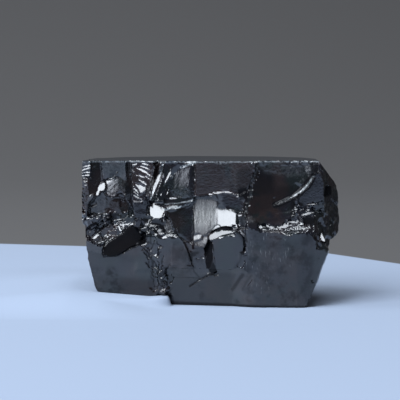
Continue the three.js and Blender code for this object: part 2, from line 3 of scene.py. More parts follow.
import bpy
import numpy as np
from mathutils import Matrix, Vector


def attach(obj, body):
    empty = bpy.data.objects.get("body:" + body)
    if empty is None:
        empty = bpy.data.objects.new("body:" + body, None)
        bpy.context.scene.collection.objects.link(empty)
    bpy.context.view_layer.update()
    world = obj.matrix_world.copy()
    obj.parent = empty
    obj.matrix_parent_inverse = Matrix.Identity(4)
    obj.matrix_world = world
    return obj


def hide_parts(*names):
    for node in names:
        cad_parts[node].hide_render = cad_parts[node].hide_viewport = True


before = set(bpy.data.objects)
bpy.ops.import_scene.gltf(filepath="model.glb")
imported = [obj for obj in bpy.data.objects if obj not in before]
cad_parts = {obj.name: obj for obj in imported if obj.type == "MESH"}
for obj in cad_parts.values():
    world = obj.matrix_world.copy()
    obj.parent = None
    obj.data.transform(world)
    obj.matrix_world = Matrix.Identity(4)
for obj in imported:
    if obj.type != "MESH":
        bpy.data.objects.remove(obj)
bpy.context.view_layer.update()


# ---- The stone's block ----
# One lump of glassy carbon stone, prised out of its vein along cracks. Its top was sawn flat,
# and every other side is as it broke: big flat and hollow breaks with sharp, uneven edges.
MM = 0.001
GRAIN = 0.25              # the finest step of the stone's surface, in mm
SAWN = 45.8               # the height of its sawn top
ZERO = (0.44, 22.46, 0)   # its sizes are in mm from here: across, in from its foremost point, and up

bpy.ops.object.select_all(action="DESELECT")


def copy_of(source, name):
    piece = bpy.data.objects.new(name, source.data.copy())
    bpy.context.scene.collection.objects.link(piece)
    return piece


def take_up(piece):
    bpy.ops.object.select_all(action="DESELECT")
    piece.select_set(True)
    bpy.context.view_layer.objects.active = piece


broken_block = copy_of(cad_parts["shungite_chunk"], "broken_block")
broken_block.data.materials.clear()
take_up(broken_block)
bpy.ops.object.mode_set(mode="EDIT")
bpy.ops.mesh.select_all(action="SELECT")
bpy.ops.mesh.remove_doubles(threshold=0.001 * MM)
bpy.ops.object.mode_set(mode="OBJECT")

stone = copy_of(broken_block, "shungite_stone")
take_up(stone)


def finish_with(kind, **settings):
    step = stone.modifiers.new(kind.lower(), kind)
    for name, value in settings.items():
        setattr(step, name, value)
    bpy.ops.object.modifier_apply(modifier=step.name)


finish_with("REMESH", mode="VOXEL", voxel_size=GRAIN * MM)
finish_with("SHRINKWRAP", target=broken_block, wrap_method="NEAREST_SURFACEPOINT")
bpy.data.objects.remove(broken_block)


# ---- The swell of its breaks ----
# No break in glassy stone is quite flat: it swells away from each blow, and its edges wander.
# Only the sawn top and the face that the stone rests on stay true.
FRONT_DEPTH = 15.5        # no part of the front lies deeper than this
CHALKS = 16               # the tones of chalk that tell how much of a tool the skin gets


def read_out(items, name):
    found = np.zeros(len(items) * 3)
    items.foreach_get(name, found)
    return found.reshape(-1, 3)


def read_skin():
    """Where each point of the skin is, in mm, and which way it faces."""
    points = stone.data.vertices
    return read_out(points, "co") / MM + np.array(ZERO), read_out(points, "normal")


def find_front():
    """The points of the front, from left to right."""
    sawn = (skin[:, 2] > SAWN - 0.05) & (lie[:, 2] > 0.8)
    points = np.nonzero((skin[:, 1] < FRONT_DEPTH) & (lie[:, 1] < 0.3) & ~sawn)[0]
    return points[np.argsort(skin[points, 0])]


def along(path, closed=False, margin=1.5):
    """The front's points near a line: which, how far along, which leg, how far left, how far off,
    and whether inside, with the line's length."""
    path = np.array(path, float)
    low, high = path.min(0) - margin, path.max(0) + margin
    first, last = np.searchsorted(front_x, (low[0], high[0]))
    near = front[first:last]
    near = near[(skin[near, 2] > low[1]) & (skin[near, 2] < high[1])]
    x, z = skin[near, 0], skin[near, 2]
    gap = np.full(len(near), np.inf)
    run = np.zeros(len(near))
    side = np.zeros(len(near))
    leg = np.zeros(len(near), int)
    inside = np.zeros(len(near), bool)
    ends = np.roll(path, -1, 0) if closed else path[1:]
    done = 0.0
    for number, ((x0, z0), (x1, z1)) in enumerate(zip(path, ends)):
        dx, dz = x1 - x0, z1 - z0
        length = math.hypot(dx, dz)
        if closed and dz:
            inside ^= ((z0 > z) != (z1 > z)) & (x < x0 + dx * (z - z0) / dz)
        t = np.clip(((x - x0) * dx + (z - z0) * dz) / length**2, 0, 1)
        away = np.hypot(x - x0 - t * dx, z - z0 - t * dz)
        left = (dx * (z - z0) - dz * (x - x0)) / length
        closer = away < gap
        gap = np.where(closer, away, gap)
        run = np.where(closer, done + t * length, run)
        leg = np.where(closer, number, leg)
        side = np.where(closer, np.where(left < 0, -away, away), side)
        done += length
    return near, run, leg, side, gap, inside, done


def smooth_step(low, high, value):
    t = np.clip((value - low) / (high - low), 0, 1)
    return t * t * (3 - 2 * t)


def patch(*outline, fade=0.8):
    """The share of each point of the skin within an outline on the front."""
    near, _, _, _, gap, inside, _ = along(outline, closed=True, margin=fade)
    share = np.zeros(len(skin))
    share[near] = np.where(inside, 1, smooth_step(fade, 0, gap))
    return share


def strip(*path, width=0.6, fade=0.6):
    """The share of each point of the skin within a strip along a line on the front."""
    near, _, _, _, gap, _, _ = along(path, margin=width / 2 + fade)
    share = np.zeros(len(skin))
    share[near] = smooth_step(width / 2 + fade, width / 2, gap)
    return share


def chalk_out(share):
    chalk = stone.vertex_groups.new(name="chalk")
    levels = np.rint(np.clip(share, 0, 1) * CHALKS).astype(int)
    for level in range(1, CHALKS + 1):
        chalk.add(np.nonzero(levels == level)[0].tolist(), level / CHALKS, "REPLACE")


def relief(height, share, grain, layers=2, lean=0, direction="NORMAL", centre=(0, 0, 0)):
    """Raises and sinks a share of the skin in clouds; grain is their size in mm across, in and up."""
    clouds = bpy.data.textures.new("clouds", "CLOUDS")
    clouds.noise_scale = 1
    clouds.noise_depth = layers
    pin = bpy.data.objects.new("pin", None)
    bpy.context.scene.collection.objects.link(pin)
    pin.location = (Vector(centre) - Vector(ZERO)) * MM
    pin.rotation_euler = (0, math.radians(lean), 0)
    pin.scale = Vector(grain) * MM
    bpy.context.view_layer.update()
    chalk_out(share)
    finish_with(
        "DISPLACE", texture=clouds, texture_coords="OBJECT", texture_coords_object=pin,
        strength=height * MM, mid_level=0.5, direction=direction, vertex_group="chalk",
    )
    stone.vertex_groups.clear()
    bpy.data.objects.remove(pin)
    bpy.data.textures.remove(clouds)


def soften(share, times):
    chalk_out(share)
    finish_with("SMOOTH", factor=0.5, iterations=times, vertex_group="chalk")
    stone.vertex_groups.clear()


def broken():
    """All of the skin but the sawn top and the face it rests on."""
    sawn = (skin[:, 2] > SAWN - 0.05) & (lie[:, 2] > 0.9)
    rest = (skin[:, 2] < 0.05) & (lie[:, 2] < -0.9)
    return 1.0 - (sawn | rest)


skin, lie = read_skin()
front = find_front()
front_x = skin[front, 0]
on_front = np.zeros(len(skin))
on_front[front] = 1
relief(0.5, broken(), (2.6, 2.6, 2.6), centre=(11, 3, 5), direction="X")
relief(0.5, broken(), (2.4, 2.4, 2.4), centre=(-7, 9, 1), direction="Z")
relief(0.8, broken() * (1 - on_front), (7, 7, 7), layers=1)
worn = [
    strip((19.5, -1), (19.5, 23), width=3),
    strip((13.9, -1), (13.9, 10.6), width=2, fade=1.5),
    patch((-20, 20), (-17.8, 20), (-12.9, 10), (-12.9, 1), (-17.6, 2), (-18.8, 10)),
    strip((31, 0.6), (31.4, 8), width=1.2),
    strip((34, 20), (36.6, 18.6), width=2),
    strip((-18.2, 19), (-17.6, 8), width=1),
    strip((5.6, 35.8), (10, 35), width=1.5),
]
soften(np.maximum.reduce(worn), 70)
skin, lie = read_skin()
ends = smooth_step(-33, -37, skin[:, 0]) + smooth_step(31, 35, skin[:, 0])
relief(0.6, ends * broken() * (1 - on_front), (1.7, 1.7, 1.7), centre=(4, 1, 8), direction="X")
skin, lie = read_skin()
for spot in ((-29, 37.8, 23.7), (35.2, 32, 24.6), (37, 30.2, 29.4)):
    soften(smooth_step(2.6, 1, np.linalg.norm(skin - np.array(spot), axis=1)), 16)
skin, lie = read_skin()
front = find_front()
front_x = skin[front, 0]
relief(
    0.16,
    patch((-38, 0), (-38, 15), (-20, 20), (20, 23), (34, 22), (32, 0), fade=1),
    (7, 7, 7), layers=1,
)
skin, lie = read_skin()


# ---- The lower faces ----
# The front's lower half broke in a few large, nearly flat faces of bare stone, which run on
# smoothly past the cracks at the foot. The floor of the great hollow is laid as smooth.
MOST = 1.0                # the skin is never moved further than this at once


def lean_of(turn, tilt):
    """How much deeper a flat gets per mm to the right and per mm up."""
    aside, upward = math.radians(turn), math.radians(tilt)
    return np.array([math.tan(aside), math.tan(upward) / math.cos(aside)])


BRIGHT = lean_of(-18, 22)
LEVEL = lean_of(0, 0)


def mend(path, width=0.0, ring=1.2, fade=0.4):
    """Lays a strip along a line, or all within an outline, level with the skin around it."""
    near, _, _, _, gap, inside, _ = along(path, closed=not width, margin=width / 2 + ring)
    gap = np.maximum(gap - width / 2, 0) if width else np.where(inside, 0, gap)
    x, z = (skin[near][:, [0, 2]] - skin[near][:, [0, 2]].mean(0)).T
    bend = np.stack([np.ones(len(x)), x, z, x * x, x * z, z * z], 1)
    kept = gap > 0
    for _ in range(4):
        level = bend @ np.linalg.lstsq(bend[kept], skin[near, 1][kept], rcond=None)[0]
        off = np.abs(skin[near, 1] - level)
        kept = (gap > 0) & (off < max(0.1, 1.5 * np.median(off[gap > 0])))
    skin[near, 1] += (level - skin[near, 1]) * smooth_step(fade, 0, gap)


def facet(outline, lean=BRIGHT, sink=0.0, fade=0.2, flush=None, most=MOST):
    """Dresses what lies within an outline to a leaning flat, flush with the skin at a point."""
    near, _, _, _, gap, inside, _ = along(outline, closed=True, margin=fade)
    core = near[inside]
    if len(core) < 3:
        return
    if flush:
        middle = np.array(flush, float)
        core = along([middle, middle + 0.1], margin=0.4)[0]
    else:
        middle = skin[core][:, [0, 2]].mean(0)
    flat = np.median(skin[core, 1]) + sink + (skin[near][:, [0, 2]] - middle) @ lean
    weight = np.where(inside, smooth_step(-fade, fade, gap), smooth_step(fade, -fade, gap))
    skin[near, 1] += np.clip(flat - skin[near, 1], -most, most) * weight


# the lower faces healed over past the foot's cracks
for path, width in (
    ([(-0.6, 9.6), (-2.6, 8.6), (-6.2, 6.2)], 1.6),
    ([(10.4, 10.2), (7.2, 4.2)], 1.6), ([(13, 10.4), (10.2, 5.8)], 1.6),
    ([(10.3, 17), (9.8, 15), (9.6, 13.6)], 1.6),
    ([(9.6, 24.3), (11.3, 22.2), (11.8, 19.6), (11.4, 17)], 0.6),
):
    mend(path, width)

# the valley's foot, and the slope left of the shattered ridge
facet([(2.9, 11), (-0.7, 10.3), (-0.6, 9), (2.7, 9.8)], LEVEL, flush=(1.4, 8.4), most=3)
facet([
    (-23.4, 19.6), (-19.6, 19.4), (-18.7, 15), (-18.9, 11), (-23.4, 11),
], (-0.09, 0.0), flush=(-23.6, 15), most=2, fade=0.8)

# the ridge's flank and the great hollow's floor, under its crescent
mend([
    (10.6, 28.8), (10.9, 31), (11.4, 33.6), (12.4, 36.6), (14, 36.4), (13.6, 33), (12.8, 29.6),
    (12, 28.2),
])
facet([
    (20.6, 32.2), (24, 34), (26.6, 35.4), (28.4, 36.6), (29.4, 37.8), (27, 39), (23, 36.6), (20, 34),
], (0.06, 0.14), fade=0.6, flush=(24, 37.4), most=2)
facet([
    (20, 31.6), (24, 33.4), (26.4, 34.4), (27.8, 35.2), (28, 32), (25, 30), (21, 29.6),
], (0.04, 0.12), fade=0.6, flush=(23, 30.6), most=2)


# ---- The fluted valley and its bright face ----
# A tall hollow break in the middle, fluted where the crack ran down it in strands, under a thin
# arched lip. One face of it is mirror-bright, and it ends on a bright ledge over a round boss.
UPWARD = lean_of(0, 40)
GLINTS = [BRIGHT, lean_of(-15, 28), lean_of(-13, 35), UPWARD]
TIP = 0.08                # half the width of a hackle's tip
STEPS = 200               # how finely a hackle's length is followed


def write_skin():
    stone.data.vertices.foreach_set("co", ((skin - np.array(ZERO)) * MM).ravel())
    stone.data.update()


def bowl(outline, across, up, flush, sink=0.0, fade=0.4, most=3.0):
    """Dresses an outline to a hollow whose lean changes from left to right and upward."""
    near, _, _, _, gap, inside, _ = along(outline, closed=True, margin=fade)
    middle = np.array(flush, float)
    depth = np.median(skin[along([middle, middle + 0.1], margin=0.4)[0], 1]) + sink
    flat = np.full(len(near), depth)
    for axis, (places, leans), start in ((0, across, flush[0]), (2, up, flush[1])):
        fine = np.linspace(places[0], places[-1], 400)
        climb = np.cumsum(np.interp(fine, places, leans)) * (fine[1] - fine[0])
        flat += np.interp(skin[near, axis], fine, climb) - np.interp(start, fine, climb)
    weight = np.where(inside, smooth_step(-fade, fade, gap), smooth_step(fade, -fade, gap))
    skin[near, 1] += np.clip(flat - skin[near, 1], -most, most) * weight


def smooth_out(share, times):
    """Softens a share of the skin in the middle of the dressing."""
    global skin, lie
    write_skin()
    soften(share, times)
    skin, lie = read_skin()


def hackle(path, width=0.5, leans=GLINTS, fade=0.16, leap=0.9, slope=None):
    """Dresses a strip along a line to whichever lean suits it best, or to slope up to its left."""
    width = np.array(width if isinstance(width, tuple) else (width,), float)
    near, run, leg, side, gap, _, length = along(path, margin=width.max() / 2 + fade)
    half = np.interp(run, np.linspace(0, length, len(width) + 2), [TIP, *(width / 2), TIP])
    core = gap < np.maximum(half, 0.3)
    if core.sum() < 8:
        return
    trend = np.polyfit(run[core], skin[near[core], 1], 1 if length < 5 else 2 if length < 10 else 3)
    flat = np.polyval(trend, run)
    if slope is None:
        legs = np.diff(np.array(path, float), axis=0)
        heading = legs / np.hypot(*legs.T)[:, None]
        across = np.stack([-heading[:, 1], heading[:, 0]], 1)
        mark = np.linspace(0, length, STEPS)
        marked_leg = np.searchsorted(np.cumsum(np.hypot(*legs.T)), mark).clip(0, len(legs) - 1)
        climb = np.polyval(np.polyder(trend), mark)
        drifts = [np.cumsum((heading @ lean)[marked_leg] - climb) * length / STEPS for lean in leans]
        best = min(range(len(leans)), key=lambda n: np.ptp(drifts[n]))
        drift, reach = drifts[best], max(np.ptp(drifts[best]), 0.01)
        tooth = reach / math.ceil(reach / leap)
        drift = (drift - drift.min()) % tooth - tooth / 2
        flat += np.interp(run, mark, drift) + (across @ leans[best])[leg] * side
    else:
        flat += slope * side
    weight = smooth_step(half + fade, half - 0.05, gap)
    skin[near, 1] += np.clip(flat - skin[near, 1], -max(MOST, leap), max(MOST, leap)) * weight


def crack(path, width, depth):
    """Sinks a thin line into the skin."""
    near, _, _, _, gap, _, _ = along(path, margin=width)
    skin[near, 1] += depth * smooth_step(width / 2 + 0.1, 0, gap)


# the flat under the sawn top, and the valley's hollow wall with its bright face
facet([
    (-4.4, 45.9), (14.8, 45.9), (13.6, 40), (11.8, 36.6), (9.6, 35), (8.2, 35.5), (5, 36.2), (2, 35.9),
    (0, 35.3), (-4.4, 34.6),
], (0.0, 0.038), fade=0.3, flush=(3, 41))
bowl(
    [
        (-5.1, 34.3), (9.4, 34.3), (10.5, 29), (10.5, 25), (8.6, 24.8), (7.6, 25.2), (5, 25.5), (3, 25.1),
        (0.8, 23.8), (-0.4, 22.8), (-1.2, 18.4), (-5.2, 18.4),
    ],
    ((-6, -3, 1.7, 2.9, 8.4, 9.2, 11), (-0.18, -0.19, -0.2, -0.32, -0.32, -0.05, 0.05)),
    ((18, 24.4, 25.8, 29.3, 31, 33, 35), (0.17, 0.21, 0.36, 0.36, 0.23, 0.14, 0.09)),
    flush=(1.6, 27), sink=-0.25,
)

# the dark slope under the arched lip, and the bright face's right-hand wall
facet([
    (3, 31.5), (4.6, 31.1), (6.6, 30.5), (8.8, 29.6), (9.4, 28.2), (10.6, 28.6), (11, 33), (9.8, 35),
    (8, 35.3), (5, 36.2), (3, 36.2),
], (0.03, 0.042), fade=0.25, flush=(5, 30.8), most=2)
smooth_out(patch((1.4, 35), (4, 35), (4, 31.6), (2, 31.6), fade=0.6), 40)
facet([
    (8.7, 29.2), (8.9, 25.6), (9.8, 24.8), (11.2, 25), (11.8, 27.4), (11.4, 29.6),
], (-0.45, 0.05), fade=0.2, flush=(11.4, 27), most=2)

# the two faces left of the boss
facet([
    (-12, 21.6), (-9.6, 21.6), (-8.2, 19.5), (-7, 17.4), (-6.3, 15.4), (-5.7, 12.9), (-12, 12.9),
], (-0.02, 0.0), fade=0.12, flush=(-9.5, 17), most=2)
facet([
    (-6.9, 17.4), (-6.1, 15.4), (-5.5, 12.9), (-1.9, 12.9), (-1.9, 17.4),
], (-0.1, 0.02), fade=0.12, flush=(-3.6, 15), most=2)
smooth_out(patch(
    (-4.4, 33.6), (9, 33.6), (9.6, 27), (8, 26.4), (3, 26), (0, 25), (-0.8, 20), (-4.4, 20),
), 14)
smooth_out(patch((-5, 16.8), (-1.8, 16.8), (-1.4, 19.4), (-5, 19.4)), 40)

# the bright knobs at the valley's foot
facet([
    (-5.4, 20.3), (-5.4, 21.9), (-4.7, 22.6), (-3.6, 23), (-2.6, 22.8), (-2.6, 21.3), (-3.6, 20.5),
], fade=0.3)
facet([
    (-4.8, 20.6), (-0.5, 22), (-0.3, 20.8), (-0.9, 19.6), (-1.6, 18.6), (-3.4, 18.8),
], (-0.22, 0.19), fade=0.3)
facet([(-2.2, 22.4), (-0.5, 22.4), (-0.6, 20.4), (-1.4, 19.6), (-2.2, 20.2)], (-0.24, 0.3), fade=0.3)
smooth_out(patch((-5.6, 18.6), (-0.9, 18.6), (-0.3, 22.6), (-5.6, 23), fade=0.4), 3)

# the bright ledge over the boss, and the point of the bright face above it
facet([
    (-0.4, 22.8), (1.6, 23.7), (4, 24.3), (6.6, 24.4), (7.8, 23.5), (6, 23.1), (4, 22.7), (2.6, 22.1),
    (1.2, 21.4), (0.2, 21.4),
], UPWARD)
facet([(0, 23.3), (1.2, 24), (2.6, 24.8), (3.6, 25.3), (2.6, 26), (1.8, 25.6)], fade=0.1)
hackle([(2.8, 22.1), (4.2, 22.2), (5, 22.5)], 0.3)

# the arched lip, and the comb of teeth at the bright face's corner
hackle([(0, 35.3), (1.4, 35.6), (3, 36), (5.4, 36.1), (7, 35.8), (8.2, 35.3)], (0.25, 0.5, 0.5, 0.3))
hackle([(8.5, 34.9), (9.2, 34.6)], 0.5)
for n in range(7):
    hackle([(7.4 + 0.32 * n, 24.5 + 0.12 * n), (7.1 + 0.42 * n, 25.8 + 0.05 * n)], 0.16)

# the crack between the bright face and the ledge
crack([(0.6, 23.6), (2.4, 24.5), (3.6, 25), (5, 25.2), (6.5, 24.9), (7.4, 24.4)], 0.5, 0.4)


# ---- The upper left face ----
# A face of its own above the left ledge, with a stack of fine hackles at the stone's corner, a
# shallow hollow, and a bright chip out of its edge.
SOFT = lean_of(-13, 11)
chance = np.random.default_rng(7)


def spots_in(outline, count):
    """Picks spots by chance within an outline."""
    outline = np.array(outline, float)
    low, high = outline.min(0), outline.max(0)
    while count:
        spot = chance.uniform(low, high)
        inside = False
        for (x0, z0), (x1, z1) in zip(outline, np.roll(outline, -1, 0)):
            if (z0 > spot[1]) != (z1 > spot[1]):
                inside ^= bool(spot[0] < x0 + (x1 - x0) * (spot[1] - z0) / (z1 - z0))
        if inside:
            count -= 1
            yield spot


def flakes(outline, count, size, turns, tilts, slant=0, stretch=1.0, rise=0.03):
    """Heaps small facets of all leans within an outline."""
    a = math.radians(slant)
    turned = np.array([[math.cos(a), math.sin(a)], [-math.sin(a), math.cos(a)]])
    for middle in spots_in(outline, count):
        corners = int(chance.integers(4, 7))
        angles = (np.arange(corners) + chance.uniform(-0.3, 0.3, corners)) * 2 * math.pi / corners
        reach = size * chance.uniform(0.5, 1.1, corners) / 2
        shape = np.stack([np.cos(angles) * reach * stretch, np.sin(angles) * reach], 1) @ turned
        lean = lean_of(chance.uniform(*turns), chance.uniform(*tilts))
        facet(shape + middle, lean, chance.uniform(-rise, rise), fade=0.1)


# the corner and its stack of hackles
facet([
    (-41, 46), (-38.4, 46), (-37.4, 44), (-37.8, 41), (-38.8, 39.4), (-41, 39.4),
], (-0.2, 0.02), flush=(-38.4, 42.4), most=12)
for low, high, width in (
    (42.6, 43.8, 0.6), (41.9, 42.4, 0.4), (41.1, 41.5, 0.5), (40.3, 40.4, 0.3), (43.6, 44.6, 0.3),
):
    hackle([(-40.7, low), (-39.2, (low + high) / 2 + 0.2), (-37.5, high)], width)

# the blue face, and the shallow hollow with its own hackles
facet([
    (-34.6, 45.8), (-26.4, 45.8), (-26.3, 40), (-28.4, 42.6), (-31, 41), (-34, 39.6),
], (0.0, -0.02), fade=0.4)
bowl(
    [
        (-33.4, 39), (-31, 40.6), (-28.8, 42), (-27, 41.4), (-26.6, 36), (-28.4, 35), (-31.4, 34.6),
        (-33.4, 35.6),
    ],
    ((-34, -32, -30.4, -29, -26.6), (-0.2, -0.17, -0.13, -0.08, 0.02)),
    ((34, 38, 40.6, 43), (0.13, 0.14, 0.12, 0)),
    flush=(-30, 40.8), fade=1.4,
)
smooth_out(patch((-32.6, 39), (-29, 42.6), (-27.2, 42), (-27, 36.4), (-31.4, 35.6), fade=1.2), 16)
for path, width in (
    ([(-32.6, 39.6), (-31, 40.4), (-29.4, 42)], 0.4),
    ([(-32.2, 40.2), (-30, 40.3)], 0.3),
    ([(-32.4, 38.2), (-30.6, 38.4)], 0.5),
    ([(-32.2, 37.2), (-29.8, 38.6)], 0.6),
    ([(-31.6, 36.2), (-30, 37)], 0.4),
    ([(-31.6, 34.2), (-30.6, 34)], 0.3),
    ([(-33.4, 28.3), (-31.6, 29.6), (-30, 29.2)], 0.3),
    ([(-31, 40), (-29.8, 41.3), (-28.7, 42.3)], 0.4),
    ([(-30.4, 39.6), (-29, 39.7)], 0.3),
):
    hackle(path, width, [SOFT])

# the bright chip on the edge, and the plain facets below it
facet([
    (-34.9, 38.3), (-34.2, 39), (-33, 38.9), (-32.9, 37.4), (-33.6, 36.1), (-34.5, 36.3), (-35, 35.1),
    (-35.9, 34.4), (-36.3, 35.4), (-35.5, 36.8),
], most=2.5)
hackle([(-38, 32.5), (-36.9, 33), (-36.5, 34.3)], 0.5)
facet([
    (-36.5, 33.6), (-33.6, 35.5), (-32.4, 33.2), (-33, 30.4), (-35, 29.6), (-35.8, 31.8),
], LEVEL, flush=(-33.6, 33))
facet([
    (-38, 31.2), (-36, 31.9), (-35, 30.2), (-36, 28.6), (-38.2, 28.7),
], (-0.03, -0.03), flush=(-35.6, 31.4))

# the rough left edge
flakes([
    (-41, 40), (-38.8, 39.4), (-38.4, 32), (-39, 29), (-41, 29),
], 50, 0.9, (-10, 18), (-4, 12), rise=0.04)
under_chip = [(-38.6, 32.4), (-33.4, 36), (-32, 33), (-33, 29), (-38.4, 28.2)]
smooth_out(patch(*under_chip), 12)
facet([(-32.4, 33.6), (-28.6, 33.4), (-28.6, 30), (-31, 29.5), (-33, 30.4)], (0.03, 0.03), fade=0.6)
hackle([(-27.9, 33.2), (-27.2, 32.9)], 0.5)


# ---- The fan of hackles ----
# Where two cracks met beside the deep groove, the stone tore in steps. They are a fan of sharp
# slivers, each leaning to the light.
facet([
    (-25.2, 45.8), (-17.2, 45.8), (-18.2, 42), (-19.6, 38.4), (-20.6, 33), (-24.8, 32.8), (-24.6, 38),
], (-0.42, 0.1))
for path, width in (
    ([(-21.9, 45), (-20, 44.7), (-18.4, 44)], (0.4, 0.6, 0.3)),
    ([(-22, 44.1), (-20, 43.5), (-18.3, 42.7)], (0.4, 0.6, 0.3)),
    ([(-23, 43.6), (-21.4, 43), (-20, 42.1), (-18.6, 40.7)], (0.3, 0.8, 0.5)),
    ([(-23.6, 41.3), (-21.6, 40.8), (-20, 40.3)], 0.5),
    ([(-22.6, 40), (-21.4, 39.3), (-20, 38.1)], (0.4, 0.9, 0.5)),
    ([(-20.4, 41), (-19, 40)], 0.3),
    ([(-24.2, 37.4), (-23.2, 36.2), (-22.4, 35.2)], (0.4, 0.7, 0.3)),
    ([(-24.2, 34.8), (-22.8, 34.1), (-21.4, 33.6)], 0.35),
    ([(-24.1, 36.2), (-22.6, 34.6)], 0.25),
    ([(-24.6, 44.2), (-23, 44.9)], 0.5),
    ([(-25.2, 43.1), (-23.9, 42.2)], 0.3),
    ([(-17.8, 44.4), (-16.8, 45)], 0.35),
    ([(-16.9, 44.8), (-15.4, 45.7)], 0.4),
    ([(-22.4, 46), (-20.8, 45.5)], 0.3),
):
    hackle(path, width)

# the wide bright tooth
facet([
    (-24.1, 38.8), (-22.4, 38.4), (-20, 37.7), (-20.6, 36), (-21.8, 35.2), (-22.8, 36.6),
], (-0.3, 0.31))


# ---- The strips beyond the groove ----
# Long thin strips split off along the groove's right-hand side, beside a soft hollow. Two lips
# run on below them, over a bright facet and the valley's dark wall.

# the soft hollow
facet([
    (-14.6, 45.8), (-5.4, 45.8), (-5.4, 33.6), (-12, 33), (-17.4, 33), (-16.6, 38),
], (0.03, 0.1), fade=0.8)
bowl(
    [(-12.4, 41.4), (-10, 44), (-5.3, 44.4), (-5.2, 33.6), (-13, 33.6), (-13, 37)],
    ((-14, -11, -8.6, -7, -5), (-0.02, -0.1, -0.15, -0.145, -0.09)),
    ((33, 36.6, 39.6, 42.6, 44.4), (0.02, 0.05, 0.12, 0.14, 0.05)),
    flush=(-8.6, 37), fade=1.2,
)

# the groove's right-hand wall, and the thin strips along it
facet([
    (-13.9, 45.9), (-15.6, 45.9), (-16.6, 41), (-18.6, 36), (-19.2, 33.6), (-17.4, 33.6), (-16.4, 37),
    (-14.9, 41),
], (-0.1, 0.05), flush=(-13.8, 42), most=7)
for path, width in (
    ([(-14.6, 45.3), (-15, 42.6)], 0.35),
    ([(-12.2, 43), (-13, 41.2), (-14.1, 38.6)], (0.8, 0.8, 0.4)),
    ([(-10.6, 42.4), (-12.1, 40.4)], 0.25),
    ([(-11.6, 42), (-12.6, 40.6)], 0.2),
    ([(-12.7, 37.4), (-13.6, 35)], 0.4),
    ([(-13.8, 36.9), (-15.5, 35.2)], 0.3),
    ([(-17.9, 33.6), (-16.2, 34.2)], 0.4),
    ([(-17.2, 35), (-16.6, 34.8)], 0.4),
    ([(-8.5, 45.1), (-6.8, 45.5), (-4.8, 45.3)], 0.7),
    ([(-8.9, 43.6), (-7.6, 44.1)], 0.5),
):
    hackle(path, width)

# the long bright strip
hackle([
    (-14.8, 44.2), (-15.3, 42.8), (-16.3, 40), (-17.3, 37.6), (-18.2, 34.6), (-18.5, 33.6),
], (0.4, 0.9, 1.2, 1.1, 0.9, 0.5), [(-0.46, 0.37), (-0.36, 0.33)], leap=4)
hackle([(-14.3, 41.7), (-14.9, 40)], 0.7, [SOFT])

# the shelf under the hollow, and the two lips along it
facet([
    (-14.4, 31.2), (-12.4, 31.5), (-9, 31.6), (-7.2, 32.1), (-5.4, 33.1), (-5.2, 34.4), (-8, 34.2),
    (-14.2, 34),
], (0.05, 0.3), flush=(-9, 33.9), most=3)
for path, width, slope in (
    ([(-14.2, 30.4), (-12.8, 31)], 0.6, 0.58),
    ([(-13, 31), (-11, 31.2), (-8.6, 31.4)], 0.7, 0.8),
    ([(-8.9, 31.3), (-7.2, 31.8), (-5.4, 32.9)], (0.7, 0.7, 0.5), 0.58),
    ([(-9.8, 32.1), (-8, 32.5), (-6, 33.2)], 0.25, 0.6),
    ([(-14, 32.3), (-11, 32.5), (-8.6, 32.6)], 0.25, 0.8),
    ([(-8.6, 32.7), (-7, 33.1), (-4.8, 33.9)], 0.25, 0.6),
):
    hackle(path, width, slope=slope)

# the bright facet left of the middle
facet([
    (-19.1, 33.6), (-17.7, 32.4), (-16.2, 32), (-14.2, 32.6), (-15, 31.2), (-13.8, 30.2), (-14.6, 29.4),
    (-15, 28.4), (-16.2, 26.8), (-17.2, 28), (-18.6, 28.3), (-19.2, 29.6), (-18.7, 31),
], fade=0.1)
hackle([(-14, 28.7), (-13.1, 28.6)], 0.3)

# the valley's dark wall
facet([(-13.2, 30.2), (-9.6, 30.4), (-9.6, 23), (-11, 23), (-12, 25), (-13.2, 28)], (0.1, 0.12), fade=0.5)
facet([(-9.6, 30.4), (-5.4, 32), (-5.4, 20), (-9.6, 22.6)], (0.34, 0.08), fade=0.5)

# the chips between the bright facet and the lower face
flakes([
    (-21, 29), (-14, 27), (-11, 24), (-10.6, 22), (-21.4, 22),
], 22, 2.4, (-7, 5), (-6, 3), slant=-10, stretch=1.4)
smooth_out(patch((-21, 28), (-14, 27), (-11, 24), (-10.6, 22), (-21.4, 22)), 18)
facet([(-13.8, 27.8), (-12.4, 27.4), (-11.4, 23.6), (-14.2, 23.4)], (-0.13, 0.12))
hackle([(-13.4, 22.7), (-11.8, 22.5)], 0.6, [UPWARD])
hackle([(-18.4, 24.5), (-16.6, 24.4), (-14.9, 24.1)], 0.4)
facet([(-16.6, 24), (-14.8, 23.8), (-14.8, 22.8), (-16.4, 22.9)], SOFT)
hackle([(-20, 23.7), (-19, 23.2)], 0.5)
hackle([(-17.6, 24.9), (-16.6, 25.6)], 0.25)


# ---- The ledge on the left ----
# A ledge crushed into overlapping flakes by the blow that took off the dark face below it. The
# ridge beside them is shattered by short cracks down to the foot.
cracks = []


def shatter(outline, count, length, slant, depth):
    """Runs short cracks all about within an outline, and keeps where they ran."""
    for spot in spots_in(outline, count):
        path = [spot]
        heading = math.radians(slant) + chance.choice([0, 0, -0.9, 1.1])
        for _ in range(3):
            heading += chance.uniform(-0.6, 0.6)
            step = length / 3 * chance.uniform(0.6, 1.3)
            path.append(path[-1] + step * np.array([math.cos(heading), math.sin(heading)]))
        crack(path, 0.25, depth * chance.uniform(0.6, 1.2))
        cracks.append(path)


